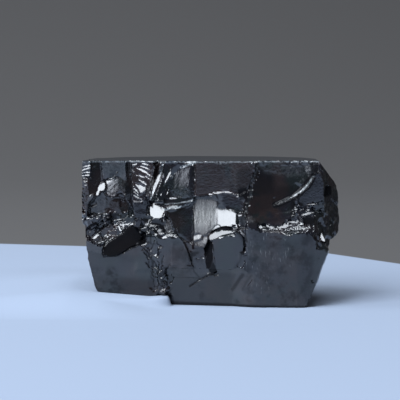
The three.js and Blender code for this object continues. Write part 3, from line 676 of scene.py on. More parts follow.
# the crushed ledge, with its slivers
flakes([
    (-38.6, 20), (-33, 20.6), (-30, 22.2), (-25, 25.4), (-25.6, 28), (-33, 28.4), (-36, 27.6),
    (-38.8, 24),
], 34, 3, (-4, 12), (-4, 5), slant=38, stretch=1.8, rise=0.05)
flakes([(-41, 28.4), (-36.4, 28.4), (-36.8, 24.6), (-38.6, 22), (-40.6, 24)], 24, 1.8, (-8, 8), (-5, 4))
smooth_out(patch((-41, 29), (-35.4, 29), (-36.6, 24.6), (-38.6, 22), (-41, 24)), 14)
for path, width in (
    ([(-36.6, 23.4), (-35.6, 24.7), (-34.3, 25.9)], (0.6, 0.7, 0.4)),
    ([(-37.4, 20.9), (-36.2, 21.6), (-35.2, 23.2)], (0.7, 0.9, 0.5)),
    ([(-36.3, 19.6), (-34.6, 19.9), (-32.8, 20.7)], 0.45),
    ([(-31.6, 25.3), (-30.4, 26.8), (-28, 27.1)], 0.3),
    ([(-30.6, 25), (-29.4, 26.2), (-26.8, 26.5)], 0.35),
    ([(-29, 25.2), (-28.6, 24), (-27.8, 23.2)], 0.8),
    ([(-27.8, 25.5), (-26, 25.4), (-25.2, 26)], 0.35),
    ([(-35.3, 22.6), (-34.2, 24.2)], 0.5),
    ([(-32.6, 21.4), (-31.6, 22)], 0.3),
    ([(-30, 25.6), (-28.8, 25.5)], 0.35),
    ([(-39.8, 27), (-39, 27.7)], 0.5),
    ([(-30.6, 24), (-29.6, 24.8)], 0.25),
):
    hackle(path, width)

# the dark face under the ledge
facet([
    (-33.8, 15.4), (-29.4, 15.7), (-25, 18.3), (-22.4, 19.5), (-21.2, 21.6), (-23.4, 24.7), (-25.6, 25),
    (-28, 22.5), (-32.6, 19.9), (-33.8, 18),
], (0.12, 0.3), fade=0.25, flush=(-26, 17.2), most=1.5)
smooth_out(strip((-22.6, 19.8), (-21.4, 21.6), (-22.8, 24)), 12)

# the shattered ridge
ridge = [(-20.4, 22), (-17.6, 21.4), (-12.6, 10), (-12.8, 1), (-17.8, 1), (-18.8, 10)]
flakes(ridge, 110, 1.5, (-5, 8), (-4, 2), slant=60, stretch=1.5, rise=0.015)
smooth_out(patch(*ridge), 14)
for count, outline in (
    (26, [(-20.8, 21.6), (-18, 21), (-13, 11), (-16.4, 8), (-19.2, 12)]),
    (22, [(-17.8, 9), (-13, 12), (-12.6, 1.4), (-17.6, 3.4)]),
):
    shatter(outline, count, 2.4, 124, 0.1)
flakes(
    [(-18.6, 10), (-12.8, 11), (-12.8, 3.6), (-17.8, 4)],
    9, 0.6, (-25, -5), (5, 35), slant=60, stretch=1.4,
)


# ---- The crumbled ridge ----
# It runs down between the flat under the sawn top and the great hollow, where both breaks left
# their edges crumbled.
flakes([
    (16.6, 45.6), (15.6, 42), (14.6, 38.6), (13.8, 36), (12.6, 32), (11.8, 28.4), (10.6, 28.6),
    (11.2, 32.6), (12.6, 37), (13.4, 41), (14.6, 45.6),
], 110, 0.8, (-4, 12), (-4, 6), slant=68, stretch=1.8, rise=0.02)

# chips under the sawn edge, and the crumbled edge at the valley's left
hackle([(29.4, 44.2), (30.4, 44.7), (31.4, 44.9)], 0.35, [SOFT])
hackle([(13.5, 45.1), (14.4, 45.6), (15.4, 45.2)], 0.7)
flakes([
    (-5.6, 45.6), (-4.5, 45.6), (-4.4, 40), (-5, 34.6), (-5.8, 35), (-5.4, 40),
], 26, 0.6, (-14, 12), (-4, 12), slant=85, stretch=2)


# ---- The crescent and the ledges on the right ----
# A thin crescent lip crosses the great hollow, and two flaked ledges step down from the hollow
# to the large lower face. One bright chip hangs at the stone's right edge.
DARK = lean_of(8, 9)

# the face past the crescent, and the flaked ground below it
facet([
    (28, 32.4), (28.3, 35), (29, 36.2), (30.3, 37.6), (31.4, 39), (32.3, 40.5), (33.1, 42.4), (35, 42),
    (36, 39), (36.2, 33), (33, 31.4), (29, 31.4),
], (0.03, 0.02), fade=0.15, flush=(33, 35), most=4)
flakes([
    (27, 31.6), (31, 32.6), (36, 32), (37, 27), (34, 23), (30, 24), (26, 26.4),
], 16, 3.2, (-3, 9), (-4, 3))
flakes([(33, 24), (36, 27), (40, 26), (38, 19), (34, 20)], 10, 3.4, (6, 20), (-4, 7), rise=0.02)
smooth_out(patch((28, 32), (37, 32), (40, 28), (38, 20), (34, 22), (30, 24.4), (27, 27)), 24)

# the crescent
crescent = [
    (20.8, 32), (22.6, 32.7), (25, 33.9), (27, 35), (28.8, 36.2), (30.2, 37.5), (31.3, 38.9),
    (32.2, 40.2), (32.6, 41),
]
hackle(crescent, (0.15, 0.3, 0.4, 0.6, 0.75, 0.6), slope=0.42)

# the rim of the lower face
facet([
    (11.3, 28.6), (13.2, 28), (15.2, 26.6), (15, 25.4), (15.6, 24.2), (21, 24.3), (24, 23.8), (30, 24),
    (30.5, 22), (12, 22),
], LEVEL, fade=0.3, flush=(18, 22), most=2)
smooth_out(strip((12, 22), (30, 22), width=1, fade=1), 30)
facet([(29.4, 28.6), (33, 28.2), (32.8, 25.8), (29.6, 25.9)], DARK)

# the slivers and bright steps of the ledges
for path, width in (
    ([(15.3, 25), (16, 25.5), (16.8, 25.5)], 1.0),
    ([(16.6, 25.7), (18, 25.9), (19.4, 25.1), (20.8, 24.7)], 0.35),
    ([(20.5, 24.6), (21.2, 24.8)], 0.6),
    ([(26.4, 30.6), (27.8, 30.8)], 0.6),
    ([(28.9, 30.7), (30, 31)], 0.6),
    ([(29, 28.9), (30.8, 29.4), (33, 29.8)], (0.6, 1.0, 0.4)),
    ([(33, 28.9), (34.2, 29.8), (36.4, 30)], 0.3),
    ([(30.8, 32.3), (32.4, 32.4), (34.2, 32.5)], (0.4, 0.9, 0.4)),
    ([(23.8, 28.4), (25, 28.5)], 0.35), ([(30, 25.4), (31, 24.9)], 0.45),
    ([(32.6, 24.2), (32.8, 26)], 0.3), ([(31.6, 23.6), (32.6, 24)], 0.3),
    ([(21.6, 24.1), (23, 23.6), (24.4, 22.9), (25.8, 23)], 0.25),
    ([(38.4, 25.2), (39.2, 25.6)], 0.4),
    ([(35, 43), (35.8, 42.7)], 0.4),
):
    hackle(path, width)
facet([(21.4, 25.1), (23, 26), (24.5, 26.1), (25.2, 25.2), (24, 24.7), (22.2, 24.7)], UPWARD)
facet([(24.4, 26.5), (25, 27.5), (26.4, 27.3), (28, 26.3), (26.4, 26.2)], UPWARD)
facet([
    (24.8, 25.2), (27, 25.8), (29.2, 25.9), (29.4, 24.9), (28.4, 24.3), (26.4, 24.2), (25, 24.5),
], UPWARD)
for n in range(6):
    crack([(25.1 + 0.7 * n, 24.3), (25.4 + 0.7 * n, 25.8)], 0.2, 0.12)

# the bright chip at the right edge, and the flakes by the right foot
facet([
    (34.4, 23), (35.4, 23.2), (36.4, 21.2), (36.5, 20.2), (35.3, 20.8), (34.6, 22),
], (-0.35, 0.4), fade=0.1, most=3)
flakes([(30, 9), (33, 9.6), (31.6, 0.4), (30, 0.4)], 30, 0.7, (5, 25), (-6, 4))


# ---- The edge of the sawn top, and the foot ----
# The saw left the top's front edge splintered in tiny chips. A few cracks run up from the foot.
flakes([
    (-40.4, 45.9), (33.6, 45.9), (33.6, 45.1), (-40.4, 45.1),
], 150, 0.5, (-22, 16), (-4, 18), stretch=1.6, rise=0.05)
flakes([
    (-40.4, 45.9), (33.6, 45.9), (33.6, 45.3), (-40.4, 45.3),
], 160, 0.4, (-20, -14), (20, 40), stretch=1.6)

# the foot's cracks
crack([(2, 10.8), (0, 9.9), (-2.6, 8.6), (-6.2, 6.2)], 0.4, 0.12)
level_crack = [(-12, 8.9), (-8.4, 8.8), (-5, 8.9), (-3, 8.7)]
steep_crack = [(-5.6, 13.2), (-4.9, 10.8), (-3, 8.8)]
crack(level_crack, 0.2, 0.05)
crack(steep_crack, 0.2, 0.05)
hackle([(-4.2, 15.1), (-1.8, 15.1)], 0.3, [SOFT])
write_skin()


# ---- Its fine flutes and ripples ----
# Each break has its own grain: strands down the valley, a weave on the flat and ripples on the
# rest. Behind, nothing stands proud of the sawn top.
VALLEY = [(-5, 34), (9, 34), (9, 26), (3, 25.6), (0, 24), (-1, 19), (-5, 19)]
FLAT = [(-4.4, 45.6), (13.4, 45.6), (11.4, 36.8), (8, 36.2), (2, 36.4), (-4.4, 35)]
BEHIND = 20               # further in than this is its back

skin, lie = read_skin()
valley = patch(*VALLEY)
flat = patch(*FLAT)
relief(0.04, valley, (0.6, 2, 16), layers=1)
relief(0.014, flat, (6, 2, 0.45), layers=1)
relief(0.012, flat, (0.45, 2, 6), layers=1)
relief(0.06, patch((-16, 45), (-6, 45), (-6, 34), (-17, 34)), (0.7, 2, 3), lean=20)
relief(0.3, patch((-41, 40), (-38.6, 39.4), (-38.4, 30), (-41, 29), fade=0.4), (0.8, 0.8, 0.8))
relief(0.34, patch((15.4, 45.4), (33, 45.4), (32, 42), (26, 40.4), (18, 41.4), fade=1.4), (3, 3, 1.8))
relief(0.05, patch((-33.4, 41), (-27, 42), (-27, 35), (-33.4, 35)), (0.8, 2, 1.6), lean=50)
relief(0.035, broken() * on_front * (1 - np.maximum(valley, flat)), (1.3, 1.3, 1.3))
skin, lie = read_skin()
back = skin[:, 1] > BEHIND
skin[back, 2] = np.minimum(skin[back, 2], SAWN)
write_skin()


# ---- Its final skin ----
# What shows most keeps the finest skin. The sawn top and the face it rests on are quite flat, and
# the broken edges stay crisp.
FINE_FRONT = 150000       # triangles kept on the front, and on all the rest
COARSE_REST = 42000
CRISP = 22                # a sharper bend than this, in degrees, stays an edge

skin, lie = read_skin()
on_front = np.zeros(len(skin), bool)
on_front[find_front()] = True
bpy.ops.object.mode_set(mode="EDIT")
bpy.ops.mesh.select_mode(type="VERT")
bpy.ops.mesh.select_all(action="DESELECT")
bpy.ops.object.mode_set(mode="OBJECT")


def thin_out(which, triangles):
    """Collapses a share of the skin to about so many triangles."""
    stone.data.calc_loop_triangles()
    corners = np.zeros(len(stone.data.loop_triangles) * 3, np.int32)
    stone.data.loop_triangles.foreach_get("vertices", corners)
    chosen = which[corners.reshape(-1, 3)].all(1).sum()
    stone.data.vertices.foreach_set("select", which)
    bpy.ops.object.mode_set(mode="EDIT")
    bpy.ops.mesh.decimate(ratio=min(1.0, triangles / chosen))
    bpy.ops.mesh.select_all(action="DESELECT")
    bpy.ops.object.mode_set(mode="OBJECT")


thin_out(~on_front, COARSE_REST)
skin, lie = read_skin()
on_front = np.zeros(len(skin), bool)
on_front[find_front()] = True
thin_out(on_front, FINE_FRONT)
bpy.ops.object.shade_smooth_by_angle(angle=math.radians(CRISP))
faces = stone.data.polygons
up = read_out(faces, "normal")[:, 2]
high = read_out(faces, "center")[:, 2] / MM
cut = ((up > 0.97) & (high > SAWN - 0.1)) | ((up < -0.97) & (high < 0.1))
faces.foreach_set("use_smooth", ~cut)

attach(stone, "root")
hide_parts("shungite_chunk")


# ---- What marks its skin ----
# Chips and powder dull the stone: crushed stone looks frosted, old cracks are black, rain and
# handling stained it, and brown is laid in by place, partly iron's tinge and partly a painted
# reflection of the warm, dim room. Painted shade darkens the foot, the sides of the crescent and
# stray glints, and painted highlights lighten thin lips, the crescent and the top edge. Each mark
# is kept as a share of the skin.
skin, lie = read_skin()
front = find_front()
front_x = skin[front, 0]
on_front = np.zeros(len(skin))
on_front[front] = 1
flat = patch(*FLAT)
left_edge = patch((-41, 40), (-38.6, 40), (-38.4, 29), (-41, 29))


def mark(name, *shares):
    layer = stone.data.attributes.new(name, "FLOAT", "POINT")
    share = np.clip(np.maximum.reduce(shares), 0, 1)
    layer.data.foreach_set("value", share.astype(np.float32))


sawn_faces = stone.data.attributes.new("sawn", "FLOAT", "FACE")
sawn_faces.data.foreach_set("value", cut.astype(np.float32))
mark(
    "flaked",
    patch((-38.5, 19.6), (-33, 20.4), (-25, 24.4), (-25.6, 28), (-33, 27.6), (-39, 24)),
    patch((20.4, 24), (30, 24.2), (36.6, 27), (36, 34), (28, 32), (26, 27.4), (21, 26.4)),
)
# the frosted share is crushed powder, and also painted highlights on the lips, the long strip, the
# crescent and the top edge
mark(
    "frosted_and_painted_highlight",
    patch((-38, 34), (-34, 35), (-33, 30), (-38, 29)) * 0.035,
    patch((-26, 45), (-24.6, 45), (-24.6, 30), (-26, 30)) * 0.008,
    strip((-14.8, 45.2), (-15.3, 42.8), (-15.7, 41.4), width=0.3, fade=0.25) * 0.6,
    strip((-17.7, 36.4), (-18.3, 34.6), (-18.6, 33.6), width=0.3, fade=0.3) * 0.4,
    strip((-9, 43.8), (-7.6, 44.4), (-4.6, 45.4), width=0.4, fade=0.3) * 0.5,
    flat * 0.012,
    strip(
        (-14.2, 30.5), (-12.4, 31.2), (-9, 31.4), (-7.2, 31.9), (-5.4, 32.9), width=0.5, fade=0.2,
    ) * 0.5,
    strip((-14, 32.3), (-9.4, 32.6), (-7, 33.1), (-4.8, 33.9), width=0.2, fade=0.2) * 0.4,
    patch((4.8, 37), (8.4, 36.8), (8.8, 43), (6.4, 44.4), (4.8, 42), fade=1.4) * 0.03,
    patch((15.4, 45.6), (33, 45.6), (32, 42.6), (26, 41.4), (18, 42.4), fade=1.4) * 0.035,
    strip(*crescent, width=0.5, fade=0.15) * smooth_step(20.6, 27, skin[:, 0]) * 0.35,
    strip(
        (15.6, 45.4), (14.8, 43), (13.7, 40), (13.1, 37), (12.4, 34), (11.6, 31), (11, 29), width=0.2,
        fade=0.5,
    ) * 0.11,
    patch((10.6, 28.4), (13, 28.4), (14, 27.4), (11, 26.8), fade=0.6) * 0.07,
    smooth_step(45.2, 45.5, skin[:, 2]) * smooth_step(45.79, 45.7, skin[:, 2]) * 0.4 * on_front,
    patch(*under_chip, fade=0.6) * 0.05,
    patch((-34.6, 45.4), (-26.8, 45.4), (-26.8, 36), (-33, 36), (-34, 40), fade=0.6) * 0.05,
)
mark(
    "stained", left_edge,
    patch((-38, 10), (-31, 11), (-27, 6), (-19, 7), (-18, 3), (-36, 4), fade=2.4),
    patch((-12.4, 21), (-7, 20), (-6, 9), (-12, 9), fade=1.5) * 0.6,
    patch((-12, 8), (6, 9), (8, 1), (-12, 1), fade=1.5) * 0.5,
    patch((12, 22), (31, 22), (31, 1), (12, 1), fade=3) * 0.75,
    patch((28, 40), (35.6, 40), (35.6, 24), (28, 31), fade=1) * 0.35,
    patch((-34, 45), (-27, 45), (-27, 41), (-34, 41), fade=1) * 0.4,
    patch((-4, 45), (10, 45), (10, 37), (-4, 37), fade=1) * 0.4,
)
mark("fluted", patch((-5, 34), (1.6, 34), (1.6, 25), (0, 24), (-1, 19), (-5, 19), fade=1.2))
mark(
    "polished",
    patch((2, 30.6), (8.6, 30), (8.8, 26), (3, 25.6)),
    patch((-0.4, 22.7), (1.6, 23.7), (4, 24.3), (7, 24.4), (7, 23.4), (4, 23), (0.2, 21.5), fade=0.3),
)
mark("scuffed", patch((12, 24), (23, 24), (24, 14), (16, 6), (12, 14), fade=3))

# painted shade in strips beside the crescent keeps its highlight thin
beside = (0.5, 0.54, 0.6, 0.66, 0.74, 0.8, 0.8, 0.72, 0.6)
above = [(x - 0.5 * gap, z + 0.86 * gap) for (x, z), gap in zip(crescent, beside)]
below = [(x + 0.5 * gap, z - 0.86 * gap) for (x, z), gap in zip(crescent, beside)]
# the cracked share is real cracks, and also painted shade along the foot, beside the crescent and over
# stray glints
mark(
    "cracks_and_painted_shade",
    smooth_step(0.9, 0.2, skin[:, 2] + 0.016 * (skin[:, 0] - 30)) * on_front * 0.75,
    strip((20.2, 32.3), *above, width=0.66, fade=0.28) * 0.9,
    strip((20.2, 31.6), *below, width=0.66, fade=0.28) * 0.9,
    patch((32, 41.6), (33, 41.4), (34.4, 42.6), (34, 45.2), (32, 45), fade=0.4) * 0.75,
    *[strip(*path, width=0.05, fade=0.35) * 0.6 for path in cracks],
    patch((-12.6, 9), (-6, 8), (1.6, 10.2), (7.6, 10), (6.4, 0.4), (-12.6, 0.4), fade=1.2) * 0.22,
    patch((18, 20), (31, 20), (31, 1), (17, 1), fade=4) * 0.12,
    patch((-28, 7.4), (-18.6, 6.8), (-18.6, 3.6), (-28, 4.6), fade=2.6) * 0.35,
    patch((9.6, 37.4), (11.6, 37.4), (11.4, 34), (9.8, 34), fade=0.6) * 0.7,
    patch((8.9, 36.6), (11.4, 37.4), (12, 35), (9.4, 34.6), fade=0.3) * 0.95,
    patch((14, 36), (26, 37), (24, 33), (13, 30), fade=2) * 0.3,
    patch((9.9, 28.6), (11, 28.6), (11, 25), (9.9, 24.8), fade=0.4) * 0.5,
    patch((-35, 8), (-20, 7.4), (-19, 4), (-34, 4.4), fade=2.4) * 0.2,
    patch((-21, 28), (-14.4, 26.4), (-14.4, 23.4), (-21, 22.6), fade=0.5) * 0.35,
    strip((1.8, 10.7), (0, 9.9), (-2.6, 8.6), (-6.2, 6.2), width=0.3, fade=0.4) * 0.8,
    strip(
        (-29, 16.2), (-25, 18.3), (-22.4, 19.4), (-21, 19.8), (-20.8, 21.6), width=0.6, fade=0.4,
    ) * 0.85,
    strip((-4.8, 31), (-4.8, 24.6), width=0.3, fade=0.3) * 0.55,
    patch((32.8, 41.8), (34, 41.8), (34, 45.2), (32.8, 45.2), fade=0.5) * 0.7,
    strip((12.8, 37.4), (12, 34), (11.4, 31), (10.8, 28.4), width=1, fade=0.5) * 0.75,
    patch((9, 36.8), (12.4, 36.8), (12.8, 41), (11, 43), (9.2, 42), fade=1.6) * 0.35,
    patch((-29.9, 40.8), (-28.9, 40.8), (-28.9, 40), (-29.9, 40), fade=0.3) * 0.7,
    strip(*level_crack, width=0.1, fade=0.3) * 0.45,
    strip(*steep_crack, width=0.1, fade=0.3) * 0.5,
    strip((10.2, 17.8), (9.4, 14.6), (8, 12.6), width=0.1, fade=0.7) * 0.25,
    patch((15, 36), (15.6, 41), (18.6, 40.6), (19.4, 36), fade=3) * 0.5,
    patch(
        (1, 23.8), (2.4, 24.6), (3.4, 25.2), (5, 25.5), (6.5, 25.2), (7.4, 24.5), (6.4, 24.5), (4, 24.4),
        fade=0.2,
    ),
    strip((8.4, 23.8), (9.6, 23), (10.6, 21), (10.9, 18.8), (10.5, 17.2), width=0.4, fade=0.3) * 0.5,
    strip((8.8, 25), (10, 24.6), (11, 23), (11.6, 21), width=0.3, fade=0.4) * 0.6,
    strip((26.4, 32.6), (26.2, 28.6), width=0.8, fade=0.6) * 0.6,
    patch((-33.6, 19.4), (-28, 22.6), (-25.6, 24.8), (-24, 24), (-30, 19), (-33.6, 17), fade=0.3) * 0.7,
    patch(
        (0.2, 21.1), (-0.9, 19.6), (-1.4, 18), (-1.4, 15.6), (-1.2, 14), (-0.4, 12), (0.4, 10.4),
        (1.6, 10.4), (2.3, 11.2), (1.6, 13), (1, 15), (0.6, 17.6), (0.7, 20), fade=0.25,
    ) * 0.8,
    patch((-5.8, 17.2), (-3.3, 17.2), (-3.4, 16.8), (-4.6, 16), (-5.6, 15.8), fade=0.3) * 0.6,
    patch((-6.8, 16.8), (-5.4, 16.4), (-5.5, 14.2), (-6.4, 14.4), fade=0.3) * 0.7,
    strip((10.4, 10.2), (9, 8.2), (7.2, 5.4), width=0.5, fade=0.7) * 0.5,
    strip((13, 10.2), (11.4, 7.8), (10.4, 5.6), width=0.2, fade=0.7) * 0.35,
    strip((13, 5), (11.6, 2.6), width=0.2, fade=0.7) * 0.2,
    patch((8.4, 2.2), (9.4, 1.4), (8.6, 0.8), fade=0.5) * 0.4,
    patch((36.1, 37.6), (38.9, 37.4), (38.8, 34.9), (37, 34.4), (36, 35), fade=0.3) * 0.85,
    patch((-32.8, 28.4), (-29.8, 28.8), (-29.6, 27), (-32.6, 26.8), fade=0.4) * 0.7,
    patch((29.6, 28.4), (33, 28), (32.8, 26), (29.8, 26), fade=0.4) * 0.5,
    patch(
        (-33.6, 15.9), (-29.4, 16.2), (-25, 18.9), (-22.6, 20.1), (-21.6, 21.6), (-23.4, 24.3),
        (-25.6, 24.4), (-28, 22), (-32.6, 19.4), fade=1.1,
    ) * 0.6,
)
# the brown share is partly iron's tinge and partly a painted reflection of the warm, dim room
mark(
    "brown", flat * 0.7, left_edge,
    patch((8, 45), (13, 45), (12, 36), (9, 36), fade=3),
    patch((12, 36), (22, 34), (20, 28), (12, 29), fade=3),
    patch((-33, 34), (-27, 34), (-27, 30), (-33, 30), fade=1.5),
    patch((-27, 7), (-18, 6), (-18, 4), (-27, 4.6), fade=3),
    patch((-12, 18), (-8, 18), (-8, 10), (-12, 12), fade=3) * 0.7,
    patch((18, 16), (26, 16), (24, 2), (16, 2), fade=4) * 0.6,
    patch((-34, 24), (-30, 25), (-30, 21.6), (-33.6, 21.2), fade=1),
)


# ---- Its glass ----
# A steel-black glass with a metallic lustre, tinged brown and sea-green in clouds. It is satin on
# the flutes and where it was sawn, and sooty in its cracks. Painted shade darkens it in places,
# and painted highlights lighten thin lips, the crescent and the top edge.
STEEL = (0.0040, 0.0044, 0.0078)
SEA = (0.0034, 0.0064, 0.0072)
BROWN = (0.0145, 0.0085, 0.0085)
SOOT_AND_PAINTED_SHADE = (0.0006, 0.0006, 0.0010)
SAWN_SKIN = (0.020, 0.021, 0.024)
FROST_AND_PAINTED_HIGHLIGHT = (0.55, 0.6, 0.62)
DUST_AND_PAINTED_SHADE = (0.004, 0.0042, 0.0055, 1)
GLASS_IOR = 1.82


class Socket:
    """A shader socket that adds up in plain Python; i0, i1 and so on are sockets by number."""

    def __init__(self, tree, value):
        self.tree = tree
        self.value = value

    def node(self, kind, out=0, settings=None, **inputs):
        made = self.tree.nodes.new("ShaderNode" + kind)
        for name, value in (settings or {}).items():
            setattr(made, name, value)
        for name, value in inputs.items():
            which = int(name[1:]) if name[1:].isdigit() else name.replace("_", " ")
            socket = made.inputs[which]
            if isinstance(value, Socket):
                self.tree.links.new(value.value, socket)
            else:
                socket.default_value = value
        return Socket(self.tree, made.outputs[out])

    def maths(self, operation, *values):
        inputs = {f"i{number}": value for number, value in enumerate(values)}
        return self.node("Math", 0, {"operation": operation}, **inputs)

    def __add__(self, other):
        return self.maths("ADD", self, other)

    __radd__ = __add__

    def __mul__(self, other):
        return self.maths("MULTIPLY", self, other)

    __rmul__ = __mul__

    def __sub__(self, other):
        return self.maths("SUBTRACT", self, other)

    def __rsub__(self, other):
        return self.maths("SUBTRACT", other, self)


def material(name):
    made = bpy.data.materials.new(name)
    made.use_nodes = True
    shader = made.node_tree.nodes["Principled BSDF"]
    return made, Socket(made.node_tree, None), shader


def between(low, high, value):
    """A share that climbs from 0 to 1 as a value goes from low to high."""
    smooth = {"interpolation_type": "SMOOTHSTEP"}
    return value.node("MapRange", 0, smooth, Value=value, From_Min=low, From_Max=high)


def mix(share, first, second):
    made = share.node("Mix", 2, {"data_type": "RGBA"}, Factor=share)
    for number, value in ((6, first), (7, second)):
        socket = made.value.node.inputs[number]
        if isinstance(value, Socket):
            share.tree.links.new(value.value, socket)
        else:
            socket.default_value = (*value, 1)
    return made


glassy, tool, shader = material("glassy_shungite")
place = tool.node("TexCoord", 3)
in_mm = tool.node("Mapping", Vector=place, Scale=(1000, 1000, 1000))
elsewhere = tool.node("Mapping", Vector=in_mm, Location=(31, 7, 12))
slant = math.radians(-35)
slanted = tool.node("Mapping", Vector=in_mm, Rotation=(0, slant, 0), Scale=(2.6, 1, 0.5))
upright = tool.node("Mapping", Vector=in_mm, Scale=(1.7, 1, 0.06))


def noise(scale, detail=2.0, rough=0.5, at=in_mm):
    return tool.node("TexNoise", Vector=at, Scale=scale, Detail=detail, Roughness=rough)


def marked(name):
    return tool.node("Attribute", 2, {"attribute_name": name})


# its clouds of colour, its cracks and painted shade, and its sawn skin
colour = mix(between(0.42, 0.62, noise(0.14, 3)), STEEL, SEA)
colour = mix(between(0.48, 0.66, noise(0.11, 3, at=elsewhere)) * 0.7, colour, BROWN)
colour = mix(marked("brown") * between(0.3, 0.55, noise(0.35, 3)), colour, BROWN)
colour = mix(marked("cracks_and_painted_shade"), colour, SOOT_AND_PAINTED_SHADE)
colour = mix(marked("sawn"), colour, SAWN_SKIN)

# the fine scratches, the strands of the flutes, the powder of crushed stone and painted highlights
scuffed = marked("scuffed") * between(0.6, 0.7, noise(1, 3, 0.6, at=slanted)) * 0.13
streaks = marked("fluted") * between(0.38, 0.62, noise(1, 3, 0.6, at=upright))
powder_and_painted_highlight = marked("frosted_and_painted_highlight") * between(0.36, 0.6, noise(1.1, 4, 0.7))
frosted_and_painted_highlight = scuffed + streaks * 0.02 + powder_and_painted_highlight
colour = mix(frosted_and_painted_highlight, colour, FROST_AND_PAINTED_HIGHLIGHT)
tool.tree.links.new(colour.value, shader.inputs["Base Color"])
shader.inputs["IOR"].default_value = GLASS_IOR
satin = marked("fluted") * 0.09 + streaks * 0.1
roughness = 0.09 + 0.12 * noise(0.5, 3) + marked("flaked") * 0.05 + marked("sawn") * 0.6
roughness = roughness + satin + frosted_and_painted_highlight * 0.3
tool.tree.links.new(roughness.value, shader.inputs["Roughness"])
fine = noise(1.6, 4, 0.6) * (1 - marked("polished") * 0.6 - marked("fluted") * 0.3)
bump = tool.node("Bump", Height=fine, Strength=0.2, Distance=0.0002)
tool.tree.links.new(bump.value, shader.inputs["Normal"])

# the dull skin over it, in clouds, stains and cracks, and as painted shade
dull = tool.node("BsdfPrincipled", Base_Color=DUST_AND_PAINTED_SHADE, Roughness=0.9, Specular_IOR_Level=0.05)
clouded = between(0.5, 0.75, noise(0.12, 4, at=elsewhere)) * 0.22
clouded = clouded + marked("stained") * between(0.4, 0.66, noise(0.24, 5, 0.65)) * 0.6
dulled = clouded.maths("MAXIMUM", clouded, marked("cracks_and_painted_shade") + marked("sawn") * 0.55)
glass = Socket(tool.tree, shader.outputs[0])
skin_mix = tool.node("MixShader", i0=dulled, i1=glass, i2=dull)
tool.tree.links.new(skin_mix.value, tool.tree.nodes["Material Output"].inputs["Surface"])
stone.data.materials.append(glassy)


# ---- The table and the wall ----
# A pale blue-grey table top under a soft sheet that rises a little under the stone's left end.
# Past the table's far edges all is plain mid grey, and sweeps up behind the stone.
TABLE_BLUE = (0.298, 0.357, 0.458)
FAR_GREY = (0.086, 0.083, 0.081)
WALL_GREY = (0.12, 0.118, 0.12, 1)
HALF_WIDE = 3             # metres from the sheet's middle to its edge
LIFT = 2.4                # mm that the sheet stands off the table beside the stone's foot
MOST_LIFT = 4.6
SWEEP_FROM = 0.55         # metres behind the middle, where the sheet starts to sweep up

bpy.ops.object.select_all(action="DESELECT")
bpy.ops.mesh.primitive_grid_add(x_subdivisions=400, y_subdivisions=400, size=2, location=(0, 0, 0))
floor = bpy.context.object
floor.name = "table_top"
sheet = read_out(floor.data.vertices, "co")
sheet[:, :2] = HALF_WIDE * (0.03 * sheet[:, :2] + 0.97 * sheet[:, :2] ** 5)
across, deep, _ = (sheet / MM + np.array(ZERO)).T
lifted = np.clip(LIFT - 0.072 * (across + 14), 0, MOST_LIFT) + 0.5 * smooth_step(-20, -14, across)
spread = smooth_step(5, -3, deep) + smooth_step(30, 42, deep)
rise = smooth_step(-12.1, -13.1 - 22 * spread, across) * smooth_step(-110, -40, across)
rise *= smooth_step(-24, 6, deep) * smooth_step(110, 40, deep)
sweep = 0.26 * np.maximum(sheet[:, 1] - SWEEP_FROM, 0) ** 2
sheet[:, 2] = lifted * rise * MM + sweep
floor.data.vertices.foreach_set("co", sheet.ravel())
floor.data.update()
bpy.ops.object.shade_smooth()
paint, tool, shader = material("table_paint")
place = tool.node("TexCoord", 3)
xyz = tool.node("SeparateXYZ", Vector=place)
x = Socket(tool.tree, xyz.value.node.outputs[0])
y = Socket(tool.tree, xyz.value.node.outputs[1])
past_back = between(-0.002, 0.002, y + 0.262 * x - 0.1431)
past_side = between(-0.002, 0.002, y + 1.45 * x - 0.2020)
past_edge = past_back.maths("MAXIMUM", past_back, past_side)
tool.tree.links.new(mix(past_edge, TABLE_BLUE, FAR_GREY).value, shader.inputs["Base Color"])
shader.inputs["Roughness"].default_value = 0.7
floor.data.materials.append(paint)

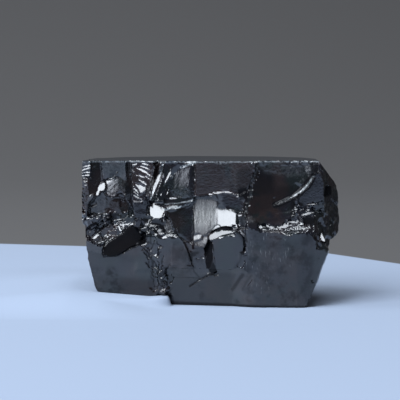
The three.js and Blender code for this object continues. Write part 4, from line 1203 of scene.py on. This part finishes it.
bpy.ops.object.select_all(action="DESELECT")
bpy.ops.mesh.primitive_plane_add(size=6, location=(0, 1.6, 0), rotation=(math.pi / 2, 0, 0))
wall = bpy.context.object
wall.name = "wall"
grey, _, shader = material("wall_paint")
shader.inputs["Base Color"].default_value = WALL_GREY
shader.inputs["Roughness"].default_value = 0.9
wall.data.materials.append(grey)


# ---- The light ----
# A tall window at the left front, a dim light overhead, a small low one, and a faint doorway at
# the left, in a dim room.
DAYLIGHT = (0.86, 0.92, 1.0)
LAMPLIGHT = (0.8, 0.87, 1.0)
DIM = (0.088, 0.09, 0.1, 1)


def lamp(name, turn, height, distance, width, tall, radiance, colour):
    made = bpy.data.lights.new(name, "AREA")
    made.shape = "RECTANGLE"
    made.size, made.size_y = width, tall
    made.energy = radiance * math.pi * width * tall
    made.color = colour
    piece = bpy.data.objects.new(name, made)
    bpy.context.scene.collection.objects.link(piece)
    a, e = math.radians(turn), math.radians(height)
    out = Vector((math.sin(a) * math.cos(e), -math.cos(a) * math.cos(e), math.sin(e)))
    piece.location = out * distance + Vector((0, 0, 0.02))
    piece.rotation_euler = (-out).to_track_quat("-Z", "Y").to_euler()


lamp("window", -45, 45, 2.2, 1.2, 1.8, 11, DAYLIGHT)
lamp("overhead", 0, 78, 2.0, 1.2, 0.8, 8, DAYLIGHT)
lamp("low", -27, 16, 2.2, 0.77, 0.66, 3.5, LAMPLIGHT)
lamp("doorway", -88, 30, 2.2, 0.7, 0.9, 10, DAYLIGHT)
world = bpy.data.worlds.new("room")
world.use_nodes = True
world.node_tree.nodes["Background"].inputs[0].default_value = DIM
bpy.context.scene.world = world
bpy.context.scene.view_settings.view_transform = "Standard"


# ---- The camera ----
# A long lens stands in front of the stone's most broken side. It is a little above the stone,
# and tipped down to it by a few degrees.
LENS = 130.41
TIPPED = 4.387            # degrees below level
EYE = (-0.00347, -0.47246, 0.06855)

view = bpy.data.cameras.new("camera")
view.lens = LENS
camera = bpy.data.objects.new("camera", view)
bpy.context.scene.collection.objects.link(camera)
camera.location = EYE
camera.rotation_euler = (math.radians(90 - TIPPED), 0, 0)
bpy.context.scene.camera = camera
